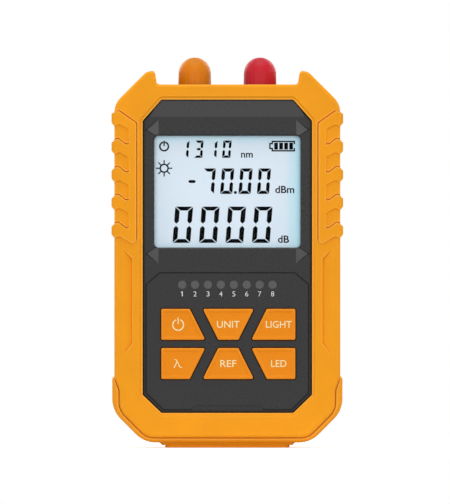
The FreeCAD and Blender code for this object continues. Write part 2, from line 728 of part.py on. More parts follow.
def front_openings():
    """Everything that pierces or marks the front cover."""
    view = rectangle(-DISPLAY_W / 2, DISPLAY_W / 2, DISPLAY_BOTTOM, DISPLAY_TOP, DISPLAY_CORNER)
    tools = [prism(view, PANEL - 1, PANEL_IN + 1),
             Part.makeLoft([outline(inset(view, -0.55), PANEL - 0.1),
                            outline(view, PANEL + 0.45)], True, True),
             prism(inset(view, -PANE_MARGIN - SLIP), PANEL_IN - PANE_T - SLIP, PANEL_IN + 1)]
    for corners in key_outlines().values():
        tools.append(prism(inset(corners, -KEY_GAP), PANEL - 1, PANEL_IN + 1))
    for x in lamp_places():
        tools.append(level(LAMP_R + SLIP / 2, PANEL - 1, PANEL_IN + 1, x, LAMP_Z))
    rise, fall = PANEL_SLOPE
    slope = Part.Face(Part.makePolygon([
        Vector(0, PANEL, WINDOW_TOP - PANEL_GAP - rise),
        Vector(0, PANEL + fall * 1.2, WINDOW_TOP - PANEL_GAP + rise * 0.2),
        Vector(0, PANEL - 1, WINDOW_TOP - PANEL_GAP + rise * 0.2),
        Vector(0, PANEL - 1, WINDOW_TOP - PANEL_GAP - rise),
        Vector(0, PANEL, WINDOW_TOP - PANEL_GAP - rise)]))
    tools.append(slope.extrude(X_AXIS * 2 * COVER_HALF).translated(Vector(-COVER_HALF, 0, 0)))
    tools += [display_facet(), panel_grooves(), port_holes(), socket_frame(SLIP)]
    return tools


def battery_bay_walls():
    return box(-BAY_HALF - BAY_WALL, BAY_HALF + BAY_WALL, BAY_FLOOR - BAY_WALL, BACK_PANEL - 1,
               BAY_BOTTOM - BAY_WALL, BAY_TOP + BAY_WALL)


def bay_space():
    return box(-BAY_HALF, BAY_HALF, BAY_FLOOR, BACK_PANEL + 1, BAY_BOTTOM, BAY_TOP)


def door_plan(margin):
    """Outline of the door with its latch, grown by margin. Its lower corners stay square."""
    width, height = LATCH
    neck = width / 2
    corners = cut_corners([(DOOR_HALF, DOOR_BOTTOM, 0), (DOOR_HALF, DOOR_TOP, DOOR_CORNER),
                           (neck, DOOR_TOP, 0), (neck, DOOR_TOP + height, LATCH_CORNER)])
    return inset(corners, -margin)


def door_recess():
    """Seat of the door, with a bevel and two knuckle pockets along its lower edge."""
    seat = prism(door_plan(DOOR_GAP), DOOR_IN, BACK_PANEL + 1)
    edge_x, edge_z = DOOR_HALF + DOOR_GAP, DOOR_BOTTOM - DOOR_GAP
    bevel = Part.Face(Part.makePolygon([
        Vector(-edge_x, BACK_PANEL - DOOR_BEVEL, edge_z),
        Vector(-edge_x, BACK_PANEL, edge_z - DOOR_BEVEL),
        Vector(-edge_x, BACK_PANEL + 1, edge_z),
        Vector(-edge_x, BACK_PANEL - DOOR_BEVEL, edge_z)]))
    seat = seat.fuse(bevel.extrude(X_AXIS * 2 * edge_x))
    half, reach = HINGE_HALF + DOOR_GAP, HINGE_R + SLIP
    for x in (-HINGE_X, HINGE_X):
        mouth = box(x - half, x + half, HINGE_Y - reach, BACK_PANEL + 1, HINGE_Z - HINGE_COVER,
                    DOOR_BOTTOM)
        seat = seat.fuse(mouth).fuse(across(reach, x - half, x + half, HINGE_Y, HINGE_Z))
    return seat


def rear_cover():
    corners, window = cover_corners(), back_window_corners()
    shell = prism(corners, PARTING, COVER_FACE)
    shell = shell.makeFillet(1.2, edges_at_y(shell, COVER_FACE))
    panel = prism(inset(window, PANEL_GAP), COVER_FACE - 0.5, BACK_PANEL)
    panel = panel.makeFillet(0.25, edges_at_y(panel, BACK_PANEL))
    shell = shell.fuse(panel)
    shell = shell.cut(prism(inset(corners, WALL), PARTING - 1, COVER_FACE - WALL))
    tongue = prism(inset(corners, WALL - TONGUE), PARTING - TONGUE_LONG, PARTING + 0.5)
    shell = shell.fuse(tongue.cut(prism(inset(corners, WALL), PARTING - 3, PARTING + 1)))
    shell = shell.fuse(battery_bay_walls()).fuse(socket_frame(0))
    for x, z in screw_places():
        pillar = level(BOSS_R, PARTING + SLIP, COVER_FACE - WALL + 0.5, x, z)
        clear = level(BOSS_R + 0.1, PARTING - 3, PARTING + SLIP, x, z)
        shell = shell.fuse(pillar).cut(clear)
    tools = [bay_space(), door_recess(), port_holes(), socket_hole()]
    for x, z in screw_places():
        head_r = SCREW_HEAD[0] + SLIP
        tools.append(level(head_r, COVER_FACE - SCREW_SUNK, COVER_FACE + 1, x, z))
        tools.append(level(SCREW_R + SCREW_HOLE_GAP, PARTING - 1, COVER_FACE, x, z))
    for x in (-CELL_PITCH * (CELLS - 1) / 2, CELL_PITCH * (CELLS - 1) / 2):
        end = BAY_BOTTOM if x < 0 else BAY_TOP - CONTACT_T - 2 * SLIP
        tools.append(box(x - 1.2 - SLIP, x + 1.2 + SLIP, BAY_FLOOR - BAY_WALL - 1, BAY_FLOOR + 1,
                         end, end + CONTACT_T + 2 * SLIP))
    return shell.cut(tools).removeSplitter()


def battery_door():
    """Flat door that swings out about two knuckles at its lower edge."""
    door = prism(door_plan(0), DOOR_IN + SLIP, BACK_PANEL)
    door = door.makeFillet(DOOR_EDGE, edges_at_y(door, BACK_PANEL))
    ribs = []
    for i in range(5):
        z = DOOR_TOP - 3.2 - i * 1.6
        half = 5.0 - i * 0.9
        ribs.append(box(-half, half, BACK_PANEL - 0.5, BACK_PANEL + 1, z - 0.4, z + 0.4))
    door = door.cut(ribs)
    for x in (-HINGE_X, HINGE_X):
        web = box(x - HINGE_HALF, x + HINGE_HALF, HINGE_Y - HINGE_WEB / 2, HINGE_Y + HINGE_WEB / 2,
                  HINGE_Z, DOOR_BOTTOM + 0.5)
        knuckle = across(HINGE_R, x - HINGE_HALF, x + HINGE_HALF, HINGE_Y, HINGE_Z)
        door = door.fuse(web).fuse(knuckle)
    for x in (-CELL_PITCH, 0, CELL_PITCH):
        rib = box(x - 0.5, x + 0.5, DOOR_IN - 0.1, DOOR_IN + 0.5, BAY_BOTTOM + 8, BAY_TOP - 8)
        door = door.fuse(rib)
    return door.removeSplitter()


def cover_screw(x, z):
    radius, height = SCREW_HEAD
    seat = COVER_FACE - SCREW_SUNK + SLIP / 2
    head = level(radius, seat, seat + height, x, z)
    head = head.makeFillet(0.5, edges_at_y(head, seat + height))
    end = PARTING - SCREW_BITE
    shank = level(SCREW_R, end, seat + 0.1, x, z)
    tip = shank.makeChamfer(0.4, edges_at_y(shank, end))
    screw = head.fuse(tip)
    for turn in (0, 90):
        slot = box(-1.2, 1.2, seat + height - 0.8, seat + height + 1, -0.25, 0.25)
        slot.rotate(Vector(0, 0, 0), Y_AXIS, turn)
        screw = screw.cut(slot.translated(Vector(x, 0, z)))
    return screw.removeSplitter()


def board_screw(x, z):
    radius, height = BOARD_SCREW_HEAD
    seat = BOARD_BACK + SLIP / 2
    head = level(radius, seat, seat + height, x, z)
    head = head.makeFillet(0.4, edges_at_y(head, seat + height))
    shank = level(BOARD_SCREW_R, seat - BOARD_SCREW_LONG, seat + 0.1, x, z)
    return head.fuse(shank).removeSplitter()


# ---- display ----
def display_window():
    view = rectangle(-DISPLAY_W / 2, DISPLAY_W / 2, DISPLAY_BOTTOM, DISPLAY_TOP, DISPLAY_CORNER)
    return prism(inset(view, -PANE_MARGIN), PANEL_IN - PANE_T, PANEL_IN - SLIP / 2)


def glass_span():
    """Bottom and top of the display glass: its contact ledge hangs below the view."""
    top = DISPLAY_TOP + (GLASS_H - GLASS_LEDGE - DISPLAY_H) / 2 + 0.4
    return top - GLASS_H, top


def display_glass():
    bottom, top = glass_span()
    y = PANEL_IN + SLIP
    back = box(-GLASS_W / 2, GLASS_W / 2, y + GLASS_T / 2, y + GLASS_T, bottom, top)
    front = box(-GLASS_W / 2, GLASS_W / 2, y, y + GLASS_T / 2, bottom + GLASS_LEDGE, top)
    return back.fuse(front).removeSplitter()


def connector_span():
    bottom, top = glass_span()
    return bottom + 0.3, bottom + GLASS_LEDGE - 0.3


def display_connector():
    low, high = connector_span()
    y = PANEL_IN + SLIP + GLASS_T
    return box(-GLASS_W / 2 + 2, GLASS_W / 2 - 2, y + SLIP / 2, BOARD_Y - SLIP / 2, low, high)


def display_backlight():
    bottom, top = glass_span()
    y = PANEL_IN + SLIP + GLASS_T + SLIP
    return box(-GLASS_W / 2 + SLIP, GLASS_W / 2 - SLIP, y, y + BACKLIGHT_T,
               bottom + GLASS_LEDGE + SLIP, top - SLIP)


def display_holder():
    """Frame on the board that carries the backlight and the glass."""
    bottom, top = glass_span()
    half = GLASS_W / 2 + SLIP
    shelf = PANEL_IN + SLIP + GLASS_T + SLIP + BACKLIGHT_T + SLIP / 2
    front = -COVER_FACE + WALL + SLIP
    outer = WINDOW_HALF - PANEL_GAP - PANEL_SIDE_WALL + HOLDER_REST
    frame = box(-outer, outer, front, BOARD_Y - SLIP / 2, bottom - SLIP - HOLDER_WALL,
                top + SLIP + HOLDER_WALL)
    frame = frame.cut(box(-half, half, front - 1, shelf, bottom - SLIP, top + SLIP))
    inner = half - HOLDER_SHELF
    frame = frame.cut(box(-inner, inner, front, BOARD_Y + 1, bottom + GLASS_LEDGE + 1.5, top - 2))
    low, high = connector_span()
    return frame.cut(box(-GLASS_W / 2 + 2 - SLIP, GLASS_W / 2 - 2 + SLIP, front, BOARD_Y + 1,
                         low - SLIP, high + SLIP))


# ---- board and what is on it ----
def main_board():
    corners = inset(cover_corners(), WALL + BOARD_MARGIN)
    board = prism(corners, BOARD_Y, BOARD_BACK)
    board = board.cut(box(-COVER_HALF, COVER_HALF, BOARD_Y - 1, BOARD_BACK + 1,
                          SKIRT_TOP - 2.0, COVER_TOP))
    for x, z in screw_places():
        side = 1 if x > 0 else -1
        notch = level(BOSS_R + 0.4, BOARD_Y - 1, BOARD_BACK + 1, x, z)
        edge = box(min(x, side * COVER_HALF), max(x, side * COVER_HALF), BOARD_Y - 1,
                   BOARD_BACK + 1, z - BOSS_R - 0.4, z + BOSS_R + 0.4)
        board = board.cut(notch.fuse(edge))
    for x, z in board_screw_places():
        board = board.cut(level(BOARD_SCREW_R + 0.15, BOARD_Y - 1, BOARD_BACK + 1, x, z))
    return board


def chip(width, height, thick, x, z, back=True):
    y = BOARD_BACK + SLIP / 2 if back else BOARD_Y - SLIP / 2 - thick
    body = box(x - width / 2, x + width / 2, y, y + thick, z - height / 2, z + height / 2)
    return body.makeChamfer(0.2, edges_at_y(body, y + thick if back else y))


def processor_chip():
    return chip(10.0, 10.0, 1.2, 0, BAY_BOTTOM + 24)


def amplifier_chip():
    return chip(3.9, 4.9, 1.4, -PORT_X - 8, SKIRT_END - 4)


def buzzer():
    x, z = -14.0, BAY_TOP + BAY_WALL + 6.5
    y = BOARD_BACK + SLIP / 2
    body = level(4.6, y, y + 3.2, x, z)
    return body.cut(level(0.9, y + 2.2, y + 4, x, z))


def indicator_light_pipe():
    """Eight clear pipes on one bar behind the panel."""
    thick, height = PIPE_BAR
    half = LAMP_PITCH * (LAMPS - 1) / 2 + LAMP_R + 1.2
    y = PANEL_IN + SLIP / 2
    bar = prism(rectangle(-half, half, LAMP_Z - height / 2, LAMP_Z + height / 2, 0.8), y, y + thick)
    end = BOARD_Y - CHIP_LAMP[2] - 0.6
    for x in lamp_places():
        pipe = level(LAMP_R, PANEL + 0.02, y + thick, x, LAMP_Z)
        bar = bar.fuse(pipe.fuse(level(LAMP_R - 0.25, y, end, x, LAMP_Z)))
    return bar.removeSplitter()


def indicator_lamp(x):
    width, height, thick = CHIP_LAMP
    return chip(width, height, thick, x, LAMP_Z, back=False)


# ---- keys ----
def dome_base():
    return BOARD_Y - SLIP / 2 - MAT_T


def dome_top():
    return dome_base() - 2.6


def key(corners):
    """Hollow cap with a flange behind the panel and a stem on its dome."""
    face = PANEL - KEY_PROUD
    back = PANEL_IN + SLIP
    cap = prism(corners, face, back)
    cap = cap.makeFillet(KEY_EDGE, edges_at_y(cap, face))
    slope, depth = KEY_DISH
    rim = inset(corners, KEY_RIM - slope * 0.05)
    cap = cap.cut(Part.makeLoft([outline(rim, face - depth * 0.1),
                                 outline(inset(rim, slope * 1.1), face + depth)], True, True))
    width, thick = KEY_FLANGE
    cap = cap.fuse(prism(inset(corners, -width), back, back + thick))
    cap = cap.cut(prism(inset(corners, KEY_SKIN), face + KEY_SKIN, back + thick + 1))
    x, z = key_centre(corners)
    stem = level(KEY_STEM_R, face + KEY_SKIN / 2, dome_top() - SLIP, x, z)
    return cap.fuse(stem).removeSplitter()


def key_mat():
    """Silicone sheet with a hollow dome and a contact pill under each key."""
    outlines = key_outlines()
    half = KEY_CENTRE / 2 + KEY_SLANT + KEY_RIB + KEY_SIDE + MAT_MARGIN
    low, high = 2 * KEY_MID - KEY_TOP - MAT_MARGIN, KEY_TOP + MAT_MARGIN
    foot = BOARD_Y - SLIP / 2
    mat = prism(rectangle(KEY_X - half, KEY_X + half, low, high, 2.0), dome_base(), foot)
    r_foot, r_top = DOME_R
    rise = dome_base() - dome_top()
    for corners in outlines.values():
        x, z = key_centre(corners)
        mat = mat.fuse(Part.makeCone(r_foot, r_top, rise, Vector(x, dome_base(), z), -Y_AXIS))
    for corners in outlines.values():
        x, z = key_centre(corners)
        inside = Part.makeCone(r_foot - DOME_WALL, r_top - DOME_WALL, rise - DOME_WALL,
                               Vector(x, dome_base(), z), -Y_AXIS)
        mat = mat.cut(inside.fuse(level(r_foot - DOME_WALL, dome_base(), foot + 1, x, z)))
        mat = mat.fuse(level(PILL_R, dome_top() + DOME_WALL / 2, foot - PILL_LIFT, x, z))
    return mat.removeSplitter()


# ---- optical ports ----
def port_shell(skirt_in, bore_r, x):
    """Turned port: outer flange, neck in the covers' wall, inner flange and skirt."""
    sleeve_r = FERRULE_R + SLEEVE_WALL + SLIP / 4
    profile = [
        (sleeve_r, SKIRT_TOP - 2.2), (skirt_in, SKIRT_TOP - 2.2), (skirt_in, SKIRT_END),
        (SKIRT_R, SKIRT_END), (SKIRT_R, SKIRT_TOP - 2.0), (FLANGE_R, SKIRT_TOP - 2.0),
        (FLANGE_R, SKIRT_TOP), (NECK_R, SKIRT_TOP), (NECK_R, FLANGE_Z),
        (FLANGE_R, FLANGE_Z), (FLANGE_R, BARREL_Z - 0.3), (FLANGE_R - 0.3, BARREL_Z),
        (BARREL_R, BARREL_Z), (BARREL_R, BARREL_END - 0.5), (BARREL_R - 0.5, BARREL_END),
        (bore_r, BARREL_END), (bore_r, BARREL_Z + 1.0), (sleeve_r, BARREL_Z + 1.0),
    ]
    return turned(profile, x, PORT_Y)


def detector_port():
    """Threaded receptacle: a recess round the sleeve, and a keyway in the barrel."""
    port = port_shell(DIODE_FLANGE[0] + SLIP / 2, PORT_RECESS_R, -PORT_X)
    keyway = box(-PORT_X - KEYWAY_W / 2, -PORT_X + KEYWAY_W / 2, PORT_Y - BARREL_R - 1, PORT_Y,
                 BARREL_END - 3.6, BARREL_END + 1)
    keep = upright(FERRULE_R + SLEEVE_WALL + SLIP, BARREL_END - 5, BARREL_END + 2, -PORT_X, PORT_Y)
    return port.cut(keyway.cut(keep)).removeSplitter()


def laser_port():
    """Plain barrel whose face is drilled for the sleeve only."""
    bore = FERRULE_R + SLEEVE_WALL + SLIP / 4
    port = port_shell(LASER_R + SLIP / 2, bore + 0.001, PORT_X)
    mouth = Part.makeCone(bore, bore + 0.8, 0.8, Vector(PORT_X, PORT_Y, BARREL_END - 0.8), Z_AXIS)
    return port.cut(mouth).removeSplitter()


def alignment_sleeve(x):
    """Ceramic tube for the 2.5 mm ferrule, bevelled inside at its mouth."""
    outer, inner = FERRULE_R + SLEEVE_WALL, FERRULE_R
    low = SLEEVE_END - SLEEVE_LONG
    return turned([(inner, low), (outer, low), (outer, SLEEVE_END - 0.1), (outer - 0.1, SLEEVE_END),
                   (inner + 0.1, SLEEVE_END), (inner, SLEEVE_END - 0.1)], x, PORT_Y)


def photodiode():
    """Metal can behind the detector port, with three leads bent to the board."""
    can_r, can_h = DIODE_CAN
    flange_r, flange_h = DIODE_FLANGE
    top = SKIRT_TOP - 2.2 - SLIP / 2
    low = top - can_h - flange_h
    can = turned([(0, low), (flange_r, low), (flange_r, low + flange_h), (can_r, low + flange_h),
                  (can_r, top - 0.3), (can_r - 0.3, top), (0, top)], -PORT_X, PORT_Y)
    for offset in (-1.2, 0, 1.2):
        x = -PORT_X + offset
        can = can.fuse(bent_lead([Vector(x, PORT_Y, low + 0.2), Vector(x, PORT_Y, SKIRT_END - 2.0),
                                  Vector(x, BOARD_BACK + SLIP / 2, SKIRT_END - 2.0)], LEAD_R))
    return can.removeSplitter()


def laser_module():
    """Barrel with the laser and its lens, with two leads bent to the board."""
    top = SKIRT_TOP - 2.2 - SLIP / 2
    low = top - LASER_LONG
    barrel = turned([(0, low), (LASER_R - 0.4, low), (LASER_R, low + 0.4), (LASER_R, top), (0, top)],
                    PORT_X, PORT_Y)
    groove = upright(LASER_R + 1, low + 4, low + 4.6, PORT_X, PORT_Y)
    barrel = barrel.cut(groove.cut(upright(LASER_R - 0.3, low + 3, low + 6, PORT_X, PORT_Y)))
    for offset in (-1.2, 1.2):
        x = PORT_X + offset
        barrel = barrel.fuse(bent_lead([Vector(x, PORT_Y, low + 0.2), Vector(x, PORT_Y, low - 1.6),
                                        Vector(x, BOARD_BACK + SLIP / 2, low - 1.6)], LEAD_R))
    return barrel.removeSplitter()


def torch_lamp():
    """White lamp between the ports, with two leads bent to the board."""
    flange_r, flange_h = TORCH_FLANGE
    top = COVER_TOP - WALL - 0.6
    low = top - flange_h
    shoulder = low + TORCH_LONG - TORCH_R
    body = upright(TORCH_R, low, shoulder, 0, PORT_Y)
    body = body.fuse(Part.makeSphere(TORCH_R, Vector(0, PORT_Y, shoulder)))
    body = body.fuse(upright(flange_r, low, top, 0, PORT_Y))
    for x in (-1.27, 1.27):
        body = body.fuse(bent_lead([Vector(x, PORT_Y, low + 0.2), Vector(x, PORT_Y, low - 3),
                                    Vector(x, BOARD_BACK + SLIP / 2, low - 3)], LEAD_R))
    return body.removeSplitter()


def dust_cap(x):
    """Soft cap with a round dome over a port's barrel, with shallow finger flutes."""
    foot, top = CAP_Z, CAP_Z + CAP_H
    shoulder = top - CAP_DOME_R
    diagonal = CAP_DOME_R * math.sqrt(0.5)
    points = [Vector(0, 0, foot), Vector(CAP_R, 0, foot), Vector(CAP_DOME_R, 0, shoulder)]
    edges = [Part.LineSegment(a, b).toShape() for a, b in zip(points, points[1:])]
    edges.append(Part.Arc(points[2], Vector(diagonal, 0, shoulder + diagonal),
                          Vector(0, 0, top)).toShape())
    edges.append(Part.LineSegment(Vector(0, 0, top), points[0]).toShape())
    cap = Part.Face(Part.Wire(edges)).revolve(Vector(0, 0, 0), Z_AXIS, 360)
    bore = upright(BARREL_R + CAP_FIT, foot - 1, foot + CAP_DEPTH)
    cap = cap.cut(bore.makeFillet(0.8, edges_at_z(bore, foot + CAP_DEPTH)))
    flutes = []
    for i in range(CAP_FLUTES):
        angle = 2 * math.pi * (i + 0.5) / CAP_FLUTES
        reach = CAP_R + CAP_FLUTE_R - CAP_FLUTE_DEPTH
        flutes.append(upright(CAP_FLUTE_R, foot + 0.8, shoulder + 1.2, reach * math.cos(angle),
                              reach * math.sin(angle)))
    return cap.cut(flutes).removeSplitter().translated(Vector(x, PORT_Y, 0))


# ---- network socket ----
def network_socket():
    y1 = SOCKET_Y + SOCKET_D
    body = box(-SOCKET_W / 2, SOCKET_W / 2, SOCKET_Y, y1, SOCKET_Z, SOCKET_TOP)
    plug = box(-PLUG_W / 2, PLUG_W / 2, PLUG_Y, PLUG_Y + PLUG_T, SOCKET_Z - 1, SOCKET_Z + PLUG_LONG)
    tab_w, tab_h = PLUG_TAB
    tab = box(-tab_w / 2, tab_w / 2, PLUG_Y, PLUG_Y + PLUG_T + tab_h, SOCKET_Z - 1,
              SOCKET_Z + PLUG_LONG)
    return body.cut(plug.fuse(tab)).removeSplitter()


def network_contacts():
    """Eight spring wires that run along the socket's floor and fold back over it."""
    wires = []
    for i in range(SOCKET_PINS):
        x = (i - (SOCKET_PINS - 1) / 2) * SOCKET_PITCH
        y = PLUG_Y + PIN_R + SLIP / 2
        wires.append(bent_lead([Vector(x, y, SOCKET_Z + PLUG_LONG - 0.2),
                                Vector(x, y, SOCKET_Z + 3.4),
                                Vector(x, y + 1.8, SOCKET_Z + 10.2)], PIN_R))
    return Part.makeCompound(wires)


# ---- batteries ----
def cell_x(i):
    return (i - (CELLS - 1) / 2) * CELL_PITCH


def button_up(i):
    return i % 2 == 0


def battery(i):
    """One cell. Its button end is up in the first and third places."""
    button_r, button_h = BUTTON
    gap = CONTACT_T + 2 * SLIP
    if button_up(i):
        top = BAY_TOP - gap
        low = top - CELL_LONG
        cell = upright(CELL_R, low, top - button_h, cell_x(i), CELL_Y)
        cell = cell.makeFillet(0.5, edges_at_z(cell, top - button_h) + edges_at_z(cell, low))
        return cell.fuse(upright(button_r, top - button_h - 0.1, top, cell_x(i), CELL_Y))
    low = BAY_BOTTOM + gap
    top = low + CELL_LONG
    cell = upright(CELL_R, low + button_h, top, cell_x(i), CELL_Y)
    cell = cell.makeFillet(0.5, edges_at_z(cell, low + button_h) + edges_at_z(cell, top))
    return cell.fuse(upright(button_r, low, low + button_h + 0.1, cell_x(i), CELL_Y))


def battery_spring(i):
    """Conical spring between a cell's flat end and its contact plate, wide at the plate."""
    wide, narrow = SPRING_R
    height = SPRING_LONG - 2 * SPRING_WIRE - 2 * SLIP
    cone = math.degrees(math.atan((narrow - wide) / height))
    helix = Part.makeLongHelix(height / SPRING_TURNS, height, wide, cone)
    ring = Part.Wire(Part.makeCircle(SPRING_WIRE, Vector(wide, 0, 0), Y_AXIS))
    spring = Part.Wire(helix.Edges).makePipeShell([ring], True, True)
    foot = CONTACT_T + SLIP + SPRING_WIRE + SLIP
    if button_up(i):
        return spring.translated(Vector(cell_x(i), CELL_Y, BAY_BOTTOM + foot))
    spring.rotate(Vector(0, 0, 0), X_AXIS, 180)
    return spring.translated(Vector(cell_x(i), CELL_Y, BAY_TOP - foot))


def battery_contact(number):
    """Nickel plate behind the cells' ends. The first and last reach the board with a tail."""
    half = CONTACT_W / 2
    spans = {1: (cell_x(0), cell_x(0), False), 2: (cell_x(0), cell_x(1), True),
             3: (cell_x(1), cell_x(2), False), 4: (cell_x(2), cell_x(2), True)}
    first, last, at_top = spans[number]
    z = BAY_TOP - SLIP - CONTACT_T if at_top else BAY_BOTTOM + SLIP
    plate = box(first - half, last + half, BAY_FLOOR + SLIP, CELL_Y + half, z, z + CONTACT_T)
    if first == last:
        tail = box(first - 1.2, first + 1.2, BOARD_BACK + SLIP / 2, BAY_FLOOR + 1, z, z + CONTACT_T)
        plate = plate.fuse(tail)
    return plate.removeSplitter()


# ---- the set of pieces ----
def pieces():
    made = {
        "rubber_jacket": rubber_jacket(),
        "front_cover": front_cover(),
        "rear_cover": rear_cover(),
        "battery_door": battery_door(),
        "display_window": display_window(),
        "display_glass": display_glass(),
        "display_backlight": display_backlight(),
        "display_holder": display_holder(),
        "display_connector": display_connector(),
        "main_board": main_board(),
        "processor_chip": processor_chip(),
        "amplifier_chip": amplifier_chip(),
        "buzzer": buzzer(),
        "key_mat": key_mat(),
        "indicator_light_pipe": indicator_light_pipe(),
        "detector_port": detector_port(),
        "detector_sleeve": alignment_sleeve(-PORT_X),
        "photodiode": photodiode(),
        "detector_cap": dust_cap(-PORT_X),
        "laser_port": laser_port(),
        "laser_sleeve": alignment_sleeve(PORT_X),
        "laser_module": laser_module(),
        "laser_cap": dust_cap(PORT_X),
        "torch_lamp": torch_lamp(),
        "network_socket": network_socket(),
        "network_contacts": network_contacts(),
    }
    for name, corners in key_outlines().items():
        made[name] = key(corners)
    for i, x in enumerate(lamp_places()):
        made[f"indicator_lamp_{i + 1}"] = indicator_lamp(x)
    for i in range(CELLS):
        made[f"battery_{i + 1}"] = battery(i)
        made[f"battery_spring_{i + 1}"] = battery_spring(i)
    for number in range(1, CELLS + 2):
        made[f"battery_contact_{number}"] = battery_contact(number)
    for i, (x, z) in enumerate(screw_places()):
        made[f"cover_screw_{i + 1}"] = cover_screw(x, z)
    for i, (x, z) in enumerate(board_screw_places()):
        made[f"board_screw_{i + 1}"] = board_screw(x, z)
    return made


os.makedirs("parts", exist_ok=True)
for name, shape in pieces().items():
    if not shape.isValid() or min(s.Volume for s in shape.Solids) <= 0:
        raise ValueError(f"{name} isn't a valid solid")
    shape.exportStep(f"parts/{name}.step")
    print(f"{name}: {len(shape.Solids)} solid(s), {shape.Volume:.1f} mm3")
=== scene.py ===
import json
import math
from collections import namedtuple

import bmesh
import bpy
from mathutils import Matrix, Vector


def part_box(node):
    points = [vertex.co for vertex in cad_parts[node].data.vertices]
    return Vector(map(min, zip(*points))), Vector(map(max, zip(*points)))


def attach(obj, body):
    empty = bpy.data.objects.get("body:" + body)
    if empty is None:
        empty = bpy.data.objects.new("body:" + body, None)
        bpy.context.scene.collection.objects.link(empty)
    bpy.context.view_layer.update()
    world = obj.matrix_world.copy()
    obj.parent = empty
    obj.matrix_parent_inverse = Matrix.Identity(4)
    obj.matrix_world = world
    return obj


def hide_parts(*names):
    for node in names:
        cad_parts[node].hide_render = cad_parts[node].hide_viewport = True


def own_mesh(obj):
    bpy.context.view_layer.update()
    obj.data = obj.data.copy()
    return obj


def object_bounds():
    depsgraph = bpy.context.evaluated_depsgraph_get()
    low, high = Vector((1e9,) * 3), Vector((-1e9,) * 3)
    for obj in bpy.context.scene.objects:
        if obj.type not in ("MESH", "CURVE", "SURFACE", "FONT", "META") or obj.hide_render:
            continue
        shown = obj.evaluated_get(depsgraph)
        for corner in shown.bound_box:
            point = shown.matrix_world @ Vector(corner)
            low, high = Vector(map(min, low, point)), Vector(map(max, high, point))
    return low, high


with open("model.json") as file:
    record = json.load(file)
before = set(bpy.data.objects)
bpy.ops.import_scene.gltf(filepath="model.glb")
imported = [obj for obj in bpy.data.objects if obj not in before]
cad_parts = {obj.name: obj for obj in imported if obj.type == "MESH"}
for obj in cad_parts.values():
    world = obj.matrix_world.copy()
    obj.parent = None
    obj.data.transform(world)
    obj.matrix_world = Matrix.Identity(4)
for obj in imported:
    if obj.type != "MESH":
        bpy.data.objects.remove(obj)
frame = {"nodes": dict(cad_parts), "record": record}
cad_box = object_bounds()

MM = 0.001


# ---- colours ----
def srgb(red, green, blue):
    """Scene colour of an 8-bit display colour."""
    def linear(value):
        value /= 255
        return value / 12.92 if value <= 0.04045 else ((value + 0.055) / 1.055) ** 2.4
    return (linear(red), linear(green), linear(blue), 1.0)


def shade(colour, factor):
    return (*(min(c * factor, 1.0) for c in colour[:3]), 1.0)


# each piece's darker tone is painted shade for its creases, its lighter tone a painted highlight
# along its raised edges
JACKET_ORANGE = srgb(242, 156, 6)
JACKET_SHADE = srgb(232, 124, 8)
JACKET_HIGHLIGHT = srgb(250, 180, 66)
KEY_ORANGE = srgb(236, 138, 6)
KEY_SHADE = srgb(120, 52, 6)
KEY_HIGHLIGHT = srgb(244, 160, 70)
COVER_GREY = srgb(34, 34, 35)
COVER_SHADE = srgb(4, 4, 4)
CAP_ORANGE = srgb(207, 121, 0)
CAP_RED = srgb(186, 28, 44)
CREAM = srgb(255, 232, 172)
WHITE_PRINT = srgb(235, 235, 235)
LCD_BLACK = srgb(5, 6, 8)
LCD_PALE = srgb(229, 242, 253)
# painted shadow tone for the display's edges
LCD_SHADOWED = srgb(194, 241, 255)
CELL_CHARCOAL = srgb(38, 40, 46)
CELL_COPPER = srgb(196, 120, 62)


# ---- materials ----
NOISE_SPAN = (0.3, 0.7)     # Blender's noise seldom leaves this range
HIGHLIGHT_SPAN = (0.95, 0.55)         # openness at which the painted highlight along an edge starts, and where it is full
SHADE_SPAN = (0.85, 0.45)         # the same for the painted shade in a hollow
HOLLOW_DULL = 0.5           # added to the roughness deep in a hollow
GLOSS_VARY = 0.04           # share by which a moulding's roughness varies
PANE_GLOSS = 0.004          # share of gloss over the clear pane
PANE_MARGIN = 1.45 * MM     # the pane reaches this far behind the panel
CELL_BAND = 12.0 * MM       # height of the cells' copper band
MIX_SOCKETS = {"RGBA": (6, 7, 2), "FLOAT": (2, 3, 0)}   # a Mix node's two inputs and its output


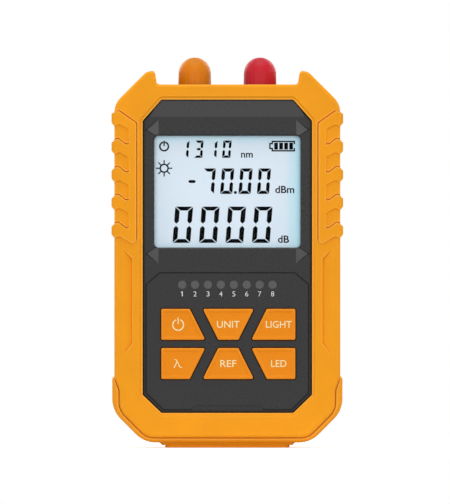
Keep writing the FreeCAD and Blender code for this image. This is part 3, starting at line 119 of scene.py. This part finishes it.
class Nodes:
    """A material's node tree, with short calls that add and join its nodes."""

    def __init__(self, name):
        self.material = bpy.data.materials.new(name)
        self.material.use_nodes = True
        self.tree = self.material.node_tree
        self.shader = self.tree.nodes["Principled BSDF"]
        self.output = self.tree.nodes["Material Output"]
        self.place = self.add("ShaderNodeTexCoord").outputs["Object"]

    def add(self, kind, **settings):
        node = self.tree.nodes.new(kind)
        for key, value in settings.items():
            setattr(node, key, value)
        return node

    def feed(self, socket, value):
        """Give a socket a value, or the output of another node."""
        if isinstance(value, bpy.types.NodeSocket):
            self.tree.links.new(value, socket)
        else:
            socket.default_value = value

    def put(self, name, value):
        """Feed one of the main shader's sockets."""
        self.feed(self.shader.inputs[name], value)

    def noise(self, size, detail=2.0):
        """Noise whose features are about size metres across."""
        noise = self.add("ShaderNodeTexNoise")
        noise.inputs["Scale"].default_value = 1 / size
        noise.inputs["Detail"].default_value = detail
        self.feed(noise.inputs["Vector"], self.place)
        return noise.outputs["Fac"]

    def remap(self, value, low, high, new_low, new_high):
        node = self.add("ShaderNodeMapRange")
        names = ("Value", "From Min", "From Max", "To Min", "To Max")
        for name, number in zip(names, (value, low, high, new_low, new_high)):
            self.feed(node.inputs[name], number)
        return node.outputs["Result"]

    def patchy(self, size, low, high, detail=2.0):
        """Noise that runs from low to high."""
        return self.remap(self.noise(size, detail), *NOISE_SPAN, low, high)

    def math(self, operation, first, second):
        node = self.add("ShaderNodeMath", operation=operation)
        self.feed(node.inputs[0], first)
        self.feed(node.inputs[1], second)
        return node.outputs["Value"]

    def mix(self, factor, first, second, kind="RGBA"):
        """Between first and second, which are colours, or numbers if kind is FLOAT."""
        node = self.add("ShaderNodeMix", data_type=kind)
        low, high, result = MIX_SOCKETS[kind]
        for i, value in ((0, factor), (low, first), (high, second)):
            self.feed(node.inputs[i], value)
        return node.outputs[result]

    def axes(self):
        split = self.add("ShaderNodeSeparateXYZ")
        self.feed(split.inputs["Vector"], self.place)
        return split.outputs["X"], split.outputs["Y"], split.outputs["Z"]

    def bump(self, height, distance):
        node = self.add("ShaderNodeBump")
        self.feed(node.inputs["Distance"], distance)
        self.feed(node.inputs["Height"], height)
        self.put("Normal", node.outputs["Normal"])

    def openness(self, reach, inside=False):
        """1 on open surfaces, less in hollows, or near the piece's own edges if inside."""
        node = self.add("ShaderNodeAmbientOcclusion", only_local=inside, inside=inside, samples=8)
        self.feed(node.inputs["Distance"], reach)
        return node.outputs["AO"]


def moulded(name, colour, roughness, grain=0.35, depth=0.012, vary=0.06, hollow=None, edge=None,
            **sockets):
    """Moulded plastic, rubber or plated metal: fine grain, uneven gloss and a slight mottle.

    hollow and edge are a colour and a reach in millimetres: painted shade deep in the piece's
    creases, and a painted highlight along its raised edges. grain and depth are in millimetres.
    """
    nodes = Nodes(name)
    tone = nodes.patchy(9 * MM, 0.0, 1.0, detail=3)
    colours = nodes.mix(tone, shade(colour, 1 - vary), shade(colour, 1 + vary))
    # painted highlight: the colour lightens near the piece's own raised edges
    if edge:
        edge_highlight = nodes.remap(nodes.openness(edge[1] * MM, inside=True), *HIGHLIGHT_SPAN, 0.0, 1.0)
        colours = nodes.mix(edge_highlight, colours, edge[0])
    rough = nodes.patchy(0.8 * MM, roughness * (1 - GLOSS_VARY), roughness * (1 + GLOSS_VARY))
    # painted shade: the colour darkens deep in creases and recesses
    if hollow:
        deep = nodes.remap(nodes.openness(hollow[1] * MM), *SHADE_SPAN, 0.0, 1.0)
        colours = nodes.mix(deep, colours, hollow[0])
        rough = nodes.math("ADD", rough, nodes.math("MULTIPLY", deep, HOLLOW_DULL))
    nodes.put("Base Color", colours)
    nodes.put("Roughness", rough)
    nodes.bump(nodes.noise(grain * MM, detail=3), depth * MM)
    for socket, value in sockets.items():
        nodes.put(socket.replace("_", " "), value)
    return nodes.material


def ink(name, colour, roughness=0.5, gloss=0.2):
    """Printed legend with a faintly uneven film."""
    nodes = Nodes(name)
    nodes.put("Specular IOR Level", gloss)
    film = nodes.patchy(0.5 * MM, 0.0, 1.0)
    nodes.put("Base Color", nodes.mix(film, shade(colour, 0.94), colour))
    nodes.put("Roughness", nodes.patchy(0.3 * MM, roughness - 0.08, roughness + 0.08))
    nodes.bump(nodes.noise(0.2 * MM), 0.003 * MM)
    return nodes.material


def pane_material():
    """Clear pane: it lets the display through and keeps a thin gloss."""
    nodes = Nodes("window_clear")
    nodes.tree.nodes.remove(nodes.shader)
    clear = nodes.add("ShaderNodeBsdfTransparent")
    tint = nodes.patchy(15 * MM, 0.0, 1.0)
    nodes.feed(clear.inputs["Color"],
               nodes.mix(tint, (0.985, 0.99, 0.995, 1), (0.995, 0.998, 1.0, 1)))
    gloss = nodes.add("ShaderNodeBsdfGlossy")
    nodes.feed(gloss.inputs["Roughness"], nodes.patchy(4 * MM, 0.03, 0.07, detail=4))
    mixer = nodes.add("ShaderNodeMixShader")
    for i, source in enumerate((PANE_GLOSS, clear.outputs["BSDF"], gloss.outputs["BSDF"])):
        nodes.feed(mixer.inputs[i], source)
    nodes.feed(nodes.output.inputs["Surface"], mixer.outputs["Shader"])
    return nodes.material


def view_box():
    """Lowest and highest corners of the display's visible area."""
    low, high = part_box("display_window")
    margin = Vector((PANE_MARGIN, 0, PANE_MARGIN))
    return low + margin, high - margin


def display_material():
    """Reflective liquid crystal: pale blue, with a painted shadow that deepens towards its edges.
    """
    nodes = Nodes("display_crystal")
    low, high = view_box()
    size = high - low
    x, _, z = nodes.axes()
    # each edge's axis, place, reach inwards and strength of its painted shadow
    edges = ((x, high.x, -0.11 * size.x, 1.0), (z, high.z, -0.1 * size.z, 0.6),
             (x, low.x, 0.04 * size.x, 0.35), (z, low.z, 0.06 * size.z, 0.4))
    painted_shadow = 0.0
    for axis, edge, reach, strength in edges:
        edge_shadow = nodes.remap(axis, edge + reach, edge, 0.0, strength)
        painted_shadow = nodes.math("MAXIMUM", painted_shadow, edge_shadow)
    cloud = nodes.patchy(12 * MM, -0.03, 0.03)
    nodes.put("Base Color", nodes.mix(nodes.math("ADD", painted_shadow, cloud), LCD_PALE, LCD_SHADOWED))
    nodes.put("Roughness", nodes.patchy(2 * MM, 0.35, 0.45))
    nodes.put("Specular IOR Level", 0.03)
    nodes.bump(nodes.noise(0.15 * MM), 0.001 * MM)
    return nodes.material


def cell_material():
    """Shrink film over a steel can: a copper band at the button end, charcoal below."""
    nodes = Nodes("cell_film")
    _, _, z = nodes.axes()
    band_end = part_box("battery_1")[1].z - CELL_BAND
    band = nodes.remap(z, band_end - 0.1 * MM, band_end, 0.0, 1.0)
    nodes.put("Base Color", nodes.mix(band, CELL_CHARCOAL, CELL_COPPER))
    nodes.put("Metallic", 0.6)
    nodes.put("Roughness", nodes.patchy(1.5 * MM, 0.28, 0.38))
    nodes.bump(nodes.noise(0.6 * MM), 0.004 * MM)
    return nodes.material


# colour and roughness of the plain plastics, rubbers and ceramics
PLAIN = {
    "backlight_plastic": (srgb(225, 230, 232), 0.35),
    "holder_plastic": (srgb(220, 220, 215), 0.5),
    "connector_rubber": (srgb(190, 150, 150), 0.6),
    "board_laminate": (srgb(22, 92, 48), 0.35),
    "chip_plastic": (srgb(30, 30, 32), 0.5),
    "mat_silicone": (srgb(190, 190, 188), 0.5),
    "indicator_plastic": (srgb(66, 66, 68), 0.3),
    "lamp_package": (srgb(225, 222, 200), 0.4),
    "sleeve_ceramic": (srgb(240, 238, 230), 0.2),
    "torch_plastic": (srgb(228, 232, 238), 0.12),
    "socket_plastic": (srgb(28, 28, 30), 0.4),
}
METALS = {
    "port_metal": (srgb(205, 203, 196), 0.28),
    "sensor_metal": (srgb(212, 190, 130), 0.3),
    "laser_metal": (srgb(200, 168, 100), 0.3),
    "contact_metal": (srgb(226, 190, 110), 0.25),
    "nickel": (srgb(196, 194, 188), 0.3),
    "screw_steel": (srgb(70, 70, 74), 0.38),
}


def make_materials():
    """One material for each of the record's slots."""
    made = {}
    # jacket: painted shade in its creases, a painted highlight along its raised edges
    made["jacket_rubber"] = moulded("jacket_rubber", JACKET_ORANGE, 0.55, grain=0.4, depth=0.015,
                                    vary=0.03, hollow=(JACKET_SHADE, 0.6), edge=(JACKET_HIGHLIGHT, 0.6),
                                    Specular_IOR_Level=0.2)
    # cover: painted shade in its grooves and recesses
    made["cover_plastic"] = moulded("cover_plastic", COVER_GREY, 0.28, grain=0.3, depth=0.003,
                                    vary=0.03, hollow=(COVER_SHADE, 0.5), Specular_IOR_Level=0.3)
    made["door_plastic"] = moulded("door_plastic", COVER_GREY, 0.5, grain=0.3, depth=0.02,
                                   Specular_IOR_Level=0.35)
    # keys: painted shade in their gaps, a painted highlight along their rims
    made["key_rubber"] = moulded("key_rubber", KEY_ORANGE, 0.5, grain=0.25, depth=0.008,
                                 vary=0.02, hollow=(KEY_SHADE, 0.7), edge=(KEY_HIGHLIGHT, 0.5),
                                 Specular_IOR_Level=0.15)
    made["window_plastic"] = pane_material()
    made["display_glass"] = display_material()
    made["cell_jacket"] = cell_material()
    for name, (colour, roughness) in PLAIN.items():
        made[name] = moulded(name, colour, roughness, depth=0.006)
    for name, colour in (("orange_cap_rubber", CAP_ORANGE), ("red_cap_rubber", CAP_RED)):
        made[name] = moulded(name, colour, 0.45, depth=0.004, Specular_IOR_Level=0.18)
    for name, (colour, roughness) in METALS.items():
        made[name] = moulded(name, colour, roughness, grain=0.5, depth=0.003, Metallic=1.0)
    return made


def paint_frame(materials):
    """Every part of the frame takes the material named by its slot in the record."""
    for entry in frame["record"]["subparts"]:
        mesh = frame["nodes"][entry["node"]].data
        mesh.materials.clear()
        mesh.materials.append(materials[entry["material_slot"]])


# ---- pieces ----
def mesh_from(name, build):
    mesh = bpy.data.meshes.new(name)
    build.to_mesh(mesh)
    build.free()
    return mesh


def add_object(name, data):
    thing = bpy.data.objects.new(name, data)
    bpy.context.scene.collection.objects.link(thing)
    return thing


def add_piece(name, mesh, body, material):
    """New piece that rides on a body, in the given material."""
    mesh.materials.clear()
    mesh.materials.append(material)
    piece = add_object(name, mesh)
    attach(piece, body)
    return piece


def middle_of(node):
    low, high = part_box(node)
    return (low + high) / 2


# ---- print: flat drawings and words, raised into thin solids on a surface that faces -Y ----
INK = 0.03 * MM          # thickness of the print
INK_LIFT = 0.005 * MM    # gap between the print and its surface


def on_circle(x, z, radius, angles):
    """Points on a circle at so many degrees."""
    return [(x + radius * math.cos(math.radians(a)), z + radius * math.sin(math.radians(a)))
            for a in angles]


class Drawing:
    """Flat closed shapes in millimetres, x to the right and z up."""

    def __init__(self):
        self.shapes = []
        self.rings = []

    def polygon(self, points):
        self.shapes.append(points)

    def bar(self, x0, z0, x1, z1, width):
        """Straight stroke with square ends."""
        along = Vector((x1 - x0, z1 - z0)).normalized() * (width / 2)
        across = Vector((-along.y, along.x))
        self.polygon([(x0 - across.x, z0 - across.y), (x1 - across.x, z1 - across.y),
                      (x1 + across.x, z1 + across.y), (x0 + across.x, z0 + across.y)])

    def arc(self, x, z, radius, width, start, turn, steps=40):
        """Curved stroke about x, z, from start degrees, turning anticlockwise."""
        angles = [start + turn * i / steps for i in range(steps + 1)]
        self.polygon(on_circle(x, z, radius + width / 2, angles)
                     + on_circle(x, z, radius - width / 2, angles[::-1]))

    def ring(self, x, z, radius, width, steps=40):
        """Closed round stroke."""
        angles = [360 * i / steps for i in range(steps)]
        self.rings.append((on_circle(x, z, radius + width / 2, angles),
                           on_circle(x, z, radius - width / 2, angles)))

    def disc(self, x, z, radius, steps=24):
        self.polygon(on_circle(x, z, radius, [360 * i / steps for i in range(steps)]))

    def raised(self, name, place):
        """Mesh of the drawing as thin solids about place, whose y is the surface."""
        build = bmesh.new()
        back = place.y - INK_LIFT
        front = back - INK

        def loop(shape, y):
            return [build.verts.new((place.x + x * MM, y, place.z + z * MM)) for x, z in shape]

        def band(first, second):
            for i in range(len(first)):
                j = (i + 1) % len(first)
                build.faces.new([first[i], second[i], second[j], first[j]])

        for shape in self.shapes:
            near, far = loop(shape, front), loop(shape, back)
            build.faces.new(near)
            build.faces.new(far[::-1])
            band(near, far)
        for outer, inner in self.rings:
            loops = [loop(outer, front), loop(inner, front), loop(inner, back), loop(outer, back)]
            for i in range(4):
                band(loops[i], loops[(i + 1) % 4])
        bmesh.ops.recalc_face_normals(build, faces=build.faces)
        return mesh_from(name, build)


def raised_words(name, words, place, width, height, bold):
    """Mesh of the words as thin solids about place, whose y is the surface."""
    curve = bpy.data.curves.new(name, "FONT")
    curve.body = words
    curve.size = 1.0
    curve.offset = bold
    curve.resolution_u = 6
    curve.extrude = 0.5
    holder = add_object(name, curve)
    bpy.context.view_layer.update()
    mesh = bpy.data.meshes.new_from_object(holder.evaluated_get(
        bpy.context.evaluated_depsgraph_get()))
    bpy.data.objects.remove(holder)
    xs = [v.co.x for v in mesh.vertices]
    ys = [v.co.y for v in mesh.vertices]
    scale_x = width / (max(xs) - min(xs)) * MM
    scale_z = height / (max(ys) - min(ys)) * MM
    middle_x, middle_y = (max(xs) + min(xs)) / 2, (max(ys) + min(ys)) / 2
    for v in mesh.vertices:
        v.co = (place.x + (v.co.x - middle_x) * scale_x,
                place.y - INK_LIFT - INK * (0.5 + v.co.z),
                place.z + (v.co.y - middle_y) * scale_z)
    mesh.name = name
    return mesh


def power_sign(drawing, x, z, radius, width, gap):
    """Ring with a gap of so many degrees at its top, and a bar through the gap."""
    drawing.arc(x, z, radius, width, start=90 + gap / 2, turn=360 - gap)
    drawing.bar(x, z + 0.1 * radius, x, z + 1.35 * radius, width * 0.85)


# ---- legends on the keys and under the lamps ----
LEGEND_SHIFT = 1.55 * MM    # the outer keys' legends stand off the keys' middles
LEGEND_BOLD = 0.008         # how far the letters' outlines grow, as a share of their size
LEGEND_HEIGHT = 2.15        # the words' height; it and the widths are in millimetres
FIGURE_SIZE = (0.95, 1.55)  # width and height in millimetres
FIGURE_BOLD = -0.008
FIGURE_DROP = 2.85 * MM     # from the lamps' middles down to the figures'
FIGURE_ONE = [(-0.07, -0.775), (0.19, -0.775), (0.19, 0.775), (0.0, 0.775), (-0.38, 0.52),
              (-0.38, 0.28), (-0.07, 0.46)]     # an upright with a flag
# each key's words, width, height and boldness, and their side: -1 left, 1 right of the middle
KEY_WORDS = {"key_unit": ("UNIT", 7.1, LEGEND_HEIGHT, LEGEND_BOLD, 0),
             "key_light": ("LIGHT", 8.05, LEGEND_HEIGHT, LEGEND_BOLD, 1),
             "key_reference": ("REF", 5.0, LEGEND_HEIGHT, LEGEND_BOLD, 0),
             "key_led": ("LED", 4.8, LEGEND_HEIGHT, LEGEND_BOLD, 1),
             "key_wavelength": ("\u03bb", 2.7, 2.7, -0.006, -1)}
DISH_DEPTH = 0.2 * MM       # the keys' faces lie this far behind their rims


def legend_place(key, side):
    """Point on a key's dished face, in its middle or to one side of it."""
    place = middle_of(key) + Vector((side * LEGEND_SHIFT, 0, 0))
    place.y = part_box(key)[0].y + DISH_DEPTH
    return place


def key_legends():
    """Plain function words and the wavelength sign on five keys, the power sign on the sixth."""
    cream = ink("legend_cream", CREAM)
    for key, (text, wide, tall, bold, side) in KEY_WORDS.items():
        name = key.replace("key_", "legend_")
        words = raised_words(name, text, legend_place(key, side), wide, tall, bold)
        add_piece(name, words, key, cream)
    drawing = Drawing()
    power_sign(drawing, 0.1, -0.15, 1.68, 0.4, 44)
    sign = drawing.raised("legend_power", legend_place("key_power", -1))
    add_piece("legend_power", sign, "key_power", cream)


def lamp_numbers():
    """Figures 1 to 8 under the indicator row."""
    white = ink("figure_white", WHITE_PRINT)
    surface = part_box("front_cover")[0].y
    level = middle_of("indicator_light_pipe").z - FIGURE_DROP
    upright = Drawing()
    upright.polygon(FIGURE_ONE)
    for number in range(1, 9):
        name = f"figure_{number}"
        place = Vector((middle_of(f"indicator_lamp_{number}").x, surface, level))
        if number == 1:
            figure = upright.raised(name, place)
        else:
            figure = raised_words(name, str(number), place, *FIGURE_SIZE, FIGURE_BOLD)
        add_piece(name, figure, "meter", white)


# ---- key mat ----
MAT_SHEET = 1.5 * MM      # thickness of the mat's flat sheet
DOME_REACH = 6.0 * MM     # every dome lies within this distance of its key's middle
MAT_TOUCH = 0.01 * MM     # faces nearer than this to a level lie on it


def cut_mat(name, material, belongs):
    """Closed piece made of the key mat's faces for which belongs is true."""
    build = bmesh.new()
    build.from_mesh(frame["nodes"]["key_mat"].data)
    bmesh.ops.remove_doubles(build, verts=build.verts, dist=0.0001 * MM)
    others = [face for face in build.faces if not belongs(face)]
    bmesh.ops.delete(build, geom=others, context="FACES")
    rims = [edge for edge in build.edges if edge.is_boundary]
    bmesh.ops.triangle_fill(build, edges=rims, use_beauty=True)
    bmesh.ops.recalc_face_normals(build, faces=build.faces)
    return add_piece(name, mesh_from(name, build), "meter", material)


def key_mat_pieces(material):
    """The silicone mat as its sheet and six domes, one under each key."""
    low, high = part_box("key_mat")
    foot = high.y - MAT_SHEET

    def in_sheet(face):
        levels = [v.co.y for v in face.verts]
        flat = max(abs(y - foot) for y in levels) < MAT_TOUCH
        return flat or max(levels) > high.y - MAT_TOUCH

    def in_dome(face, middle):
        place = face.calc_center_median()
        near = math.hypot(place.x - middle.x, place.z - middle.z) < DOME_REACH
        return near and not in_sheet(face)

    sheet = cut_mat("mat_sheet", material, in_sheet)
    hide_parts("key_mat")
    for key in ("key_power", *KEY_WORDS):
        middle = middle_of(key)
        dome = cut_mat(key.replace("key_", "mat_dome_"), material,
                       lambda face: in_dome(face, middle))
        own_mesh(dome)


# ---- display contents, in millimetres ----
SLANT = math.tan(math.radians(4.5))      # lean of the display's digits
# stroke and bar are the thicknesses of the upright and level segments, mitre is the slant of
# their corners, and waist is the gap between the uprights at mid-height
DigitStyle = namedtuple("DigitStyle", "width height stroke bar mitre waist")
LARGE = DigitStyle(5.55, 11.3, 1.45, 1.2, 0.2, 0.33)
MEDIUM = DigitStyle(3.8, 7.95, 1.05, 1.0, 0.12, 0.22)
SMALL = DigitStyle(2.6, 5.4, 0.78, 0.74, 0.08, 0.2)

SEGMENTS = {"0": "abcdef", "1": "bc", "3": "abgcd", "7": "abc"}
SEGMENT_FORMS = {"a": ("level", False, False), "b": ("upright", True, False),
                 "c": ("upright", True, True), "d": ("level", False, True),
                 "e": ("upright", False, True), "f": ("upright", False, False),
                 "g": ("middle", False, False)}   # form, right for left, foot for top


def draw_digit(drawing, digit, left, bottom, style):
    """Slanted seven-segment digit with mitred corners and pointed ends at its waist."""
    width, height, stroke, bar, mitre, waist = style
    half = stroke / 2
    middle = height / 2
    drop = mitre * bar / stroke
    forms = {
        "level": [(mitre, height), (width - mitre, height), (width - stroke - mitre, height - bar),
                  (stroke + mitre, height - bar)],
        "upright": [(0, height - drop), (stroke, height - bar - drop),
                    (stroke, middle + waist + half), (half, middle + waist),
                    (0, middle + waist + half)],
        "middle": [(half + waist, middle), (half + waist + bar / 2, middle + bar / 2),
                   (width - half - waist - bar / 2, middle + bar / 2),
                   (width - half - waist, middle),
                   (width - half - waist - bar / 2, middle - bar / 2),
                   (half + waist + bar / 2, middle - bar / 2)],
    }
    for name in SEGMENTS[digit]:
        form, other_side, other_end = SEGMENT_FORMS[name]
        shape = []
        for x, z in forms[form]:
            x = width - x if other_side else x
            z = height - z if other_end else z
            shape.append((left + x + z * SLANT, bottom + z))
        drawing.polygon(shape)


def minus_sign(drawing, x, z, half_width, half_height, point):
    """Level bar with pointed ends."""
    flat = half_width - point
    drawing.polygon([(x - half_width, z), (x - flat, z + half_height), (x + flat, z + half_height),
                     (x + half_width, z), (x + flat, z - half_height), (x - flat, z - half_height)])


def sun_sign(drawing, x, z, radius, width, reach):
    """Ring with eight rays."""
    drawing.ring(x, z, radius, width)
    start = radius + width / 2
    for i in range(8):
        dx, dz = math.cos(math.pi * i / 4), math.sin(math.pi * i / 4)
        drawing.bar(x + start * dx, z + start * dz, x + reach * dx, z + reach * dz, width * 0.8)


BATTERY_SIGN = (8.05, 3.35)             # width and height
BATTERY_LINE = 0.44                     # thickness of its outline
BATTERY_NUB = (0.95, 0.95, 2.45)        # the nub's length, and the levels of its two lines
BATTERY_OPEN = (0.32, 0.68)             # the right-hand line is open between these shares of it
CHARGE_BARS = (1.15, 1.2, 1.56, 0.62)   # width, first middle, pitch, and gap above and below


def battery_sign(drawing, x, z):
    """Cell seen from the side, with four charge bars; x, z is its lower left corner."""
    line = BATTERY_LINE
    wide, tall = BATTERY_SIGN
    nub, nub_low, nub_high = BATTERY_NUB
    start, end, top = x + nub, x + wide - line / 2, z + tall
    for level in (top - line / 2, z + line / 2):
        drawing.bar(start - line / 2, level, x + wide, level, line)
    for low, high in ((line, nub_low - line / 2), (nub_high + line / 2, tall - line)):
        drawing.bar(start, z + low, start, z + high, line)
    for low, high in ((line, BATTERY_OPEN[0] * tall), (BATTERY_OPEN[1] * tall, tall - line)):
        drawing.bar(end, z + low, end, z + high, line)
    for level in (nub_low, nub_high):
        drawing.bar(x, z + level, start + line / 2, z + level, line)
    drawing.bar(x + line / 2, z + nub_low + line / 2, x + line / 2, z + nub_high - line / 2, line)
    width, first, pitch, gap = CHARGE_BARS
    for i in range(4):
        middle = start + first + pitch * i
        drawing.bar(middle, z + gap, middle, top - gap, width)


UNIT_BOLD = 0.016
# the units' words, middle, width and height
UNITS = {"display_nm": ("nm", 6.1, 11.37, 3.65, 1.5),
         "display_dbm": ("dBm", 17.9, 0.7, 5.9, 2.25),
         "display_db": ("dB", 17.5, -14.8, 3.45, 2.25)}


def display_contents():
    """Segments and signs of the liquid crystal, drawn on the glass about its middle."""
    black = ink("segment_black", LCD_BLACK, roughness=0.6, gloss=0.0)
    low, high = view_box()
    centre = (low + high) / 2
    centre.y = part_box("display_glass")[0].y
    digits, signs = Drawing(), Drawing()
    # each row's text, left edge, foot, pitch and style
    for drawing, text, left, foot, pitch, style in (
            (digits, "0000", -17.1, -15.95, 8.25, LARGE),
            (digits, "7000", -8.0, -0.7, 5.73, MEDIUM),
            (signs, "1310", -14.8, 10.55, 4.38, SMALL)):
        for i, digit in enumerate(text):
            draw_digit(drawing, digit, left + pitch * i, foot, style)
    digits.disc(2.5, -0.25, 0.47)
    minus_sign(digits, -11.0, 3.17, half_width=1.2, half_height=0.45, point=0.4)
    power_sign(signs, -19.7, 14.1, 1.34, 0.48, 24)
    sun_sign(signs, -19.7, 7.3, 1.22, 0.46, 2.55)
    battery_sign(signs, 13.05, 12.53)
    meshes = {"display_digits": digits.raised("display_digits", centre),
              "display_signs": signs.raised("display_signs", centre)}
    for name, (text, x, z, wide, tall) in UNITS.items():
        place = centre + Vector((x, 0, z)) * MM
        meshes[name] = raised_words(name, text, place, wide, tall, UNIT_BOLD)
    for name, mesh in meshes.items():
        add_piece(name, mesh, "meter", black)


# ---- studio, in metres ----
AMBIENT = 0.34              # the world's light on the object
FLOOR_BOUNCE = 0.6          # the floor lights the object less than white paper would
UNDER_BOUNCE = 1.05         # but more than that right under it
UNDER = (0.035, 0.06)       # the bounce falls off between these distances from the middle
FAR = (0.12, 0.3)           # the floor turns into plain light between these
NEAR_GLOW = 0.5             # the near floor's own light, as the camera sees it
FAR_GLOW_UNSEEN = 0.42      # the far floor's own light on the object
FLOOR_HALF = 3.0
FLOOR_DROP = 0.02 * MM      # keeps the floor clear of the foot

AIM = Vector((0, 0, 0.06))  # what the lamps point at
# each lamp's place, size in metres and power in watts
PAIRED_LAMPS = {"front": ((0.412, -1.02, 0.12), 0.42, 2.35),
                "side": ((1.0, -0.2, 0.25), 0.6, 2.2),
                "back": ((0.55, 0.75, 0.45), 0.6, 3.0)}
SINGLE_LAMPS = {"front_high": ((0.0, -0.81, 0.485), 0.4, 1.2),
                "overhead": ((0.0, -0.12, 0.8), 0.5, 2.6)}

CAMERA_DISTANCE = 5.0       # far off, so that the sides stay out of sight
CAMERA_SHIFT = -0.73 * MM   # from the object's middle
CAMERA_HEIGHT = 61.0 * MM   # above its foot
FRAME_HEIGHT = 157.0 * MM   # height of the view at the object's front
SENSOR = 36.0
CLIP_END = 20


def seen_rays(tree):
    """1 for camera, glossy and transmission rays, else 0."""
    rays = tree.nodes.new("ShaderNodeLightPath").outputs
    seen = rays["Is Camera Ray"]
    for name in ("Is Glossy Ray", "Is Transmission Ray"):
        either = tree.nodes.new("ShaderNodeMath")
        either.operation = "MAXIMUM"
        tree.links.new(seen, either.inputs[0])
        tree.links.new(rays[name], either.inputs[1])
        seen = either.outputs["Value"]
    return seen


def build_floor():
    """White floor: its own light makes it white to the camera, and it keeps the shadow.

    Well away from the object it is plain white light, so that no far edge shows.
    """
    nodes = Nodes("floor_white")
    nodes.put("Roughness", 0.9)
    nodes.put("Specular IOR Level", 0.0)
    grain = nodes.patchy(20 * MM, 0.79, 0.81)
    length = nodes.add("ShaderNodeVectorMath", operation="LENGTH")
    nodes.feed(length.inputs[0], nodes.place)
    distance = length.outputs["Value"]
    under = nodes.remap(distance, *UNDER, UNDER_BOUNCE, FLOOR_BOUNCE)
    bounce = nodes.math("MAXIMUM", seen_rays(nodes.tree), under)
    nodes.put("Base Color", nodes.math("MULTIPLY", grain, bounce))
    far = nodes.remap(distance, *FAR, 0.0, 1.0)
    seen_glow = nodes.remap(far, 0, 1, NEAR_GLOW, 1.0)
    unseen_glow = nodes.remap(far, 0, 1, 0.0, FAR_GLOW_UNSEEN)
    glow = nodes.add("ShaderNodeEmission")
    nodes.feed(glow.inputs["Strength"],
               nodes.mix(seen_rays(nodes.tree), unseen_glow, seen_glow, kind="FLOAT"))
    near = nodes.add("ShaderNodeAddShader")
    nodes.feed(near.inputs[0], nodes.shader.outputs["BSDF"])
    nodes.feed(near.inputs[1], glow.outputs["Emission"])
    mixer = nodes.add("ShaderNodeMixShader")
    for i, source in enumerate((far, near.outputs["Shader"], glow.outputs["Emission"])):
        nodes.feed(mixer.inputs[i], source)
    nodes.feed(nodes.output.inputs["Surface"], mixer.outputs["Shader"])
    build = bmesh.new()
    bmesh.ops.create_grid(build, x_segments=1, y_segments=1, size=FLOOR_HALF)
    mesh = mesh_from("floor", build)
    mesh.materials.append(nodes.material)
    floor = add_object("floor", mesh)
    floor.location = (0, 0, -FLOOR_DROP)


def build_world():
    """White to the camera and in reflections, and a plain level of light on the object."""
    world = bpy.data.worlds.new("studio")
    bpy.context.scene.world = world
    world.use_nodes = True
    tree = world.node_tree
    mixer = tree.nodes.new("ShaderNodeMixShader")
    tree.links.new(seen_rays(tree), mixer.inputs["Fac"])
    unseen, seen = tree.nodes["Background"], tree.nodes.new("ShaderNodeBackground")
    for i, node, strength in ((1, unseen, AMBIENT), (2, seen, 1.0)):
        node.inputs["Color"].default_value = (1, 1, 1, 1)
        node.inputs["Strength"].default_value = strength
        tree.links.new(node.outputs["Background"], mixer.inputs[i])
    tree.links.new(mixer.outputs["Shader"], tree.nodes["World Output"].inputs["Surface"])


def add_lamp(name, place, size, power):
    data = bpy.data.lights.new(name, "AREA")
    data.shape = "SQUARE"
    data.size = size
    data.energy = power
    lamp = add_object(name, data)
    lamp.location = place
    lamp.rotation_euler = (AIM - Vector(place)).to_track_quat("-Z", "Y").to_euler()


def build_lamps():
    """Soft lamps in mirrored pairs in front, beside and behind, one high in front, one above."""
    for side, sign in (("left", -1), ("right", 1)):
        for name, ((x, y, z), size, power) in PAIRED_LAMPS.items():
            add_lamp(f"{name}_{side}", (sign * x, y, z), size, power)
    for name, (place, size, power) in SINGLE_LAMPS.items():
        add_lamp(name, place, size, power)


def build_camera():
    """Level view of the front."""
    low, high = cad_box
    data = bpy.data.cameras.new("camera")
    data.sensor_fit = "VERTICAL"
    data.sensor_height = SENSOR
    data.lens = SENSOR * (CAMERA_DISTANCE + low.y) / FRAME_HEIGHT
    data.clip_end = CLIP_END
    camera = add_object("camera", data)
    camera.location = ((low.x + high.x) / 2 + CAMERA_SHIFT, -CAMERA_DISTANCE,
                       low.z + CAMERA_HEIGHT)
    camera.rotation_euler = (math.radians(90), 0, 0)
    bpy.context.scene.camera = camera


def build_scene():
    build_camera()
    materials = make_materials()
    paint_frame(materials)
    key_mat_pieces(materials["mat_silicone"])
    key_legends()
    lamp_numbers()
    display_contents()
    build_floor()
    build_world()
    build_lamps()
    bpy.context.scene.view_settings.view_transform = "Standard"


build_scene()
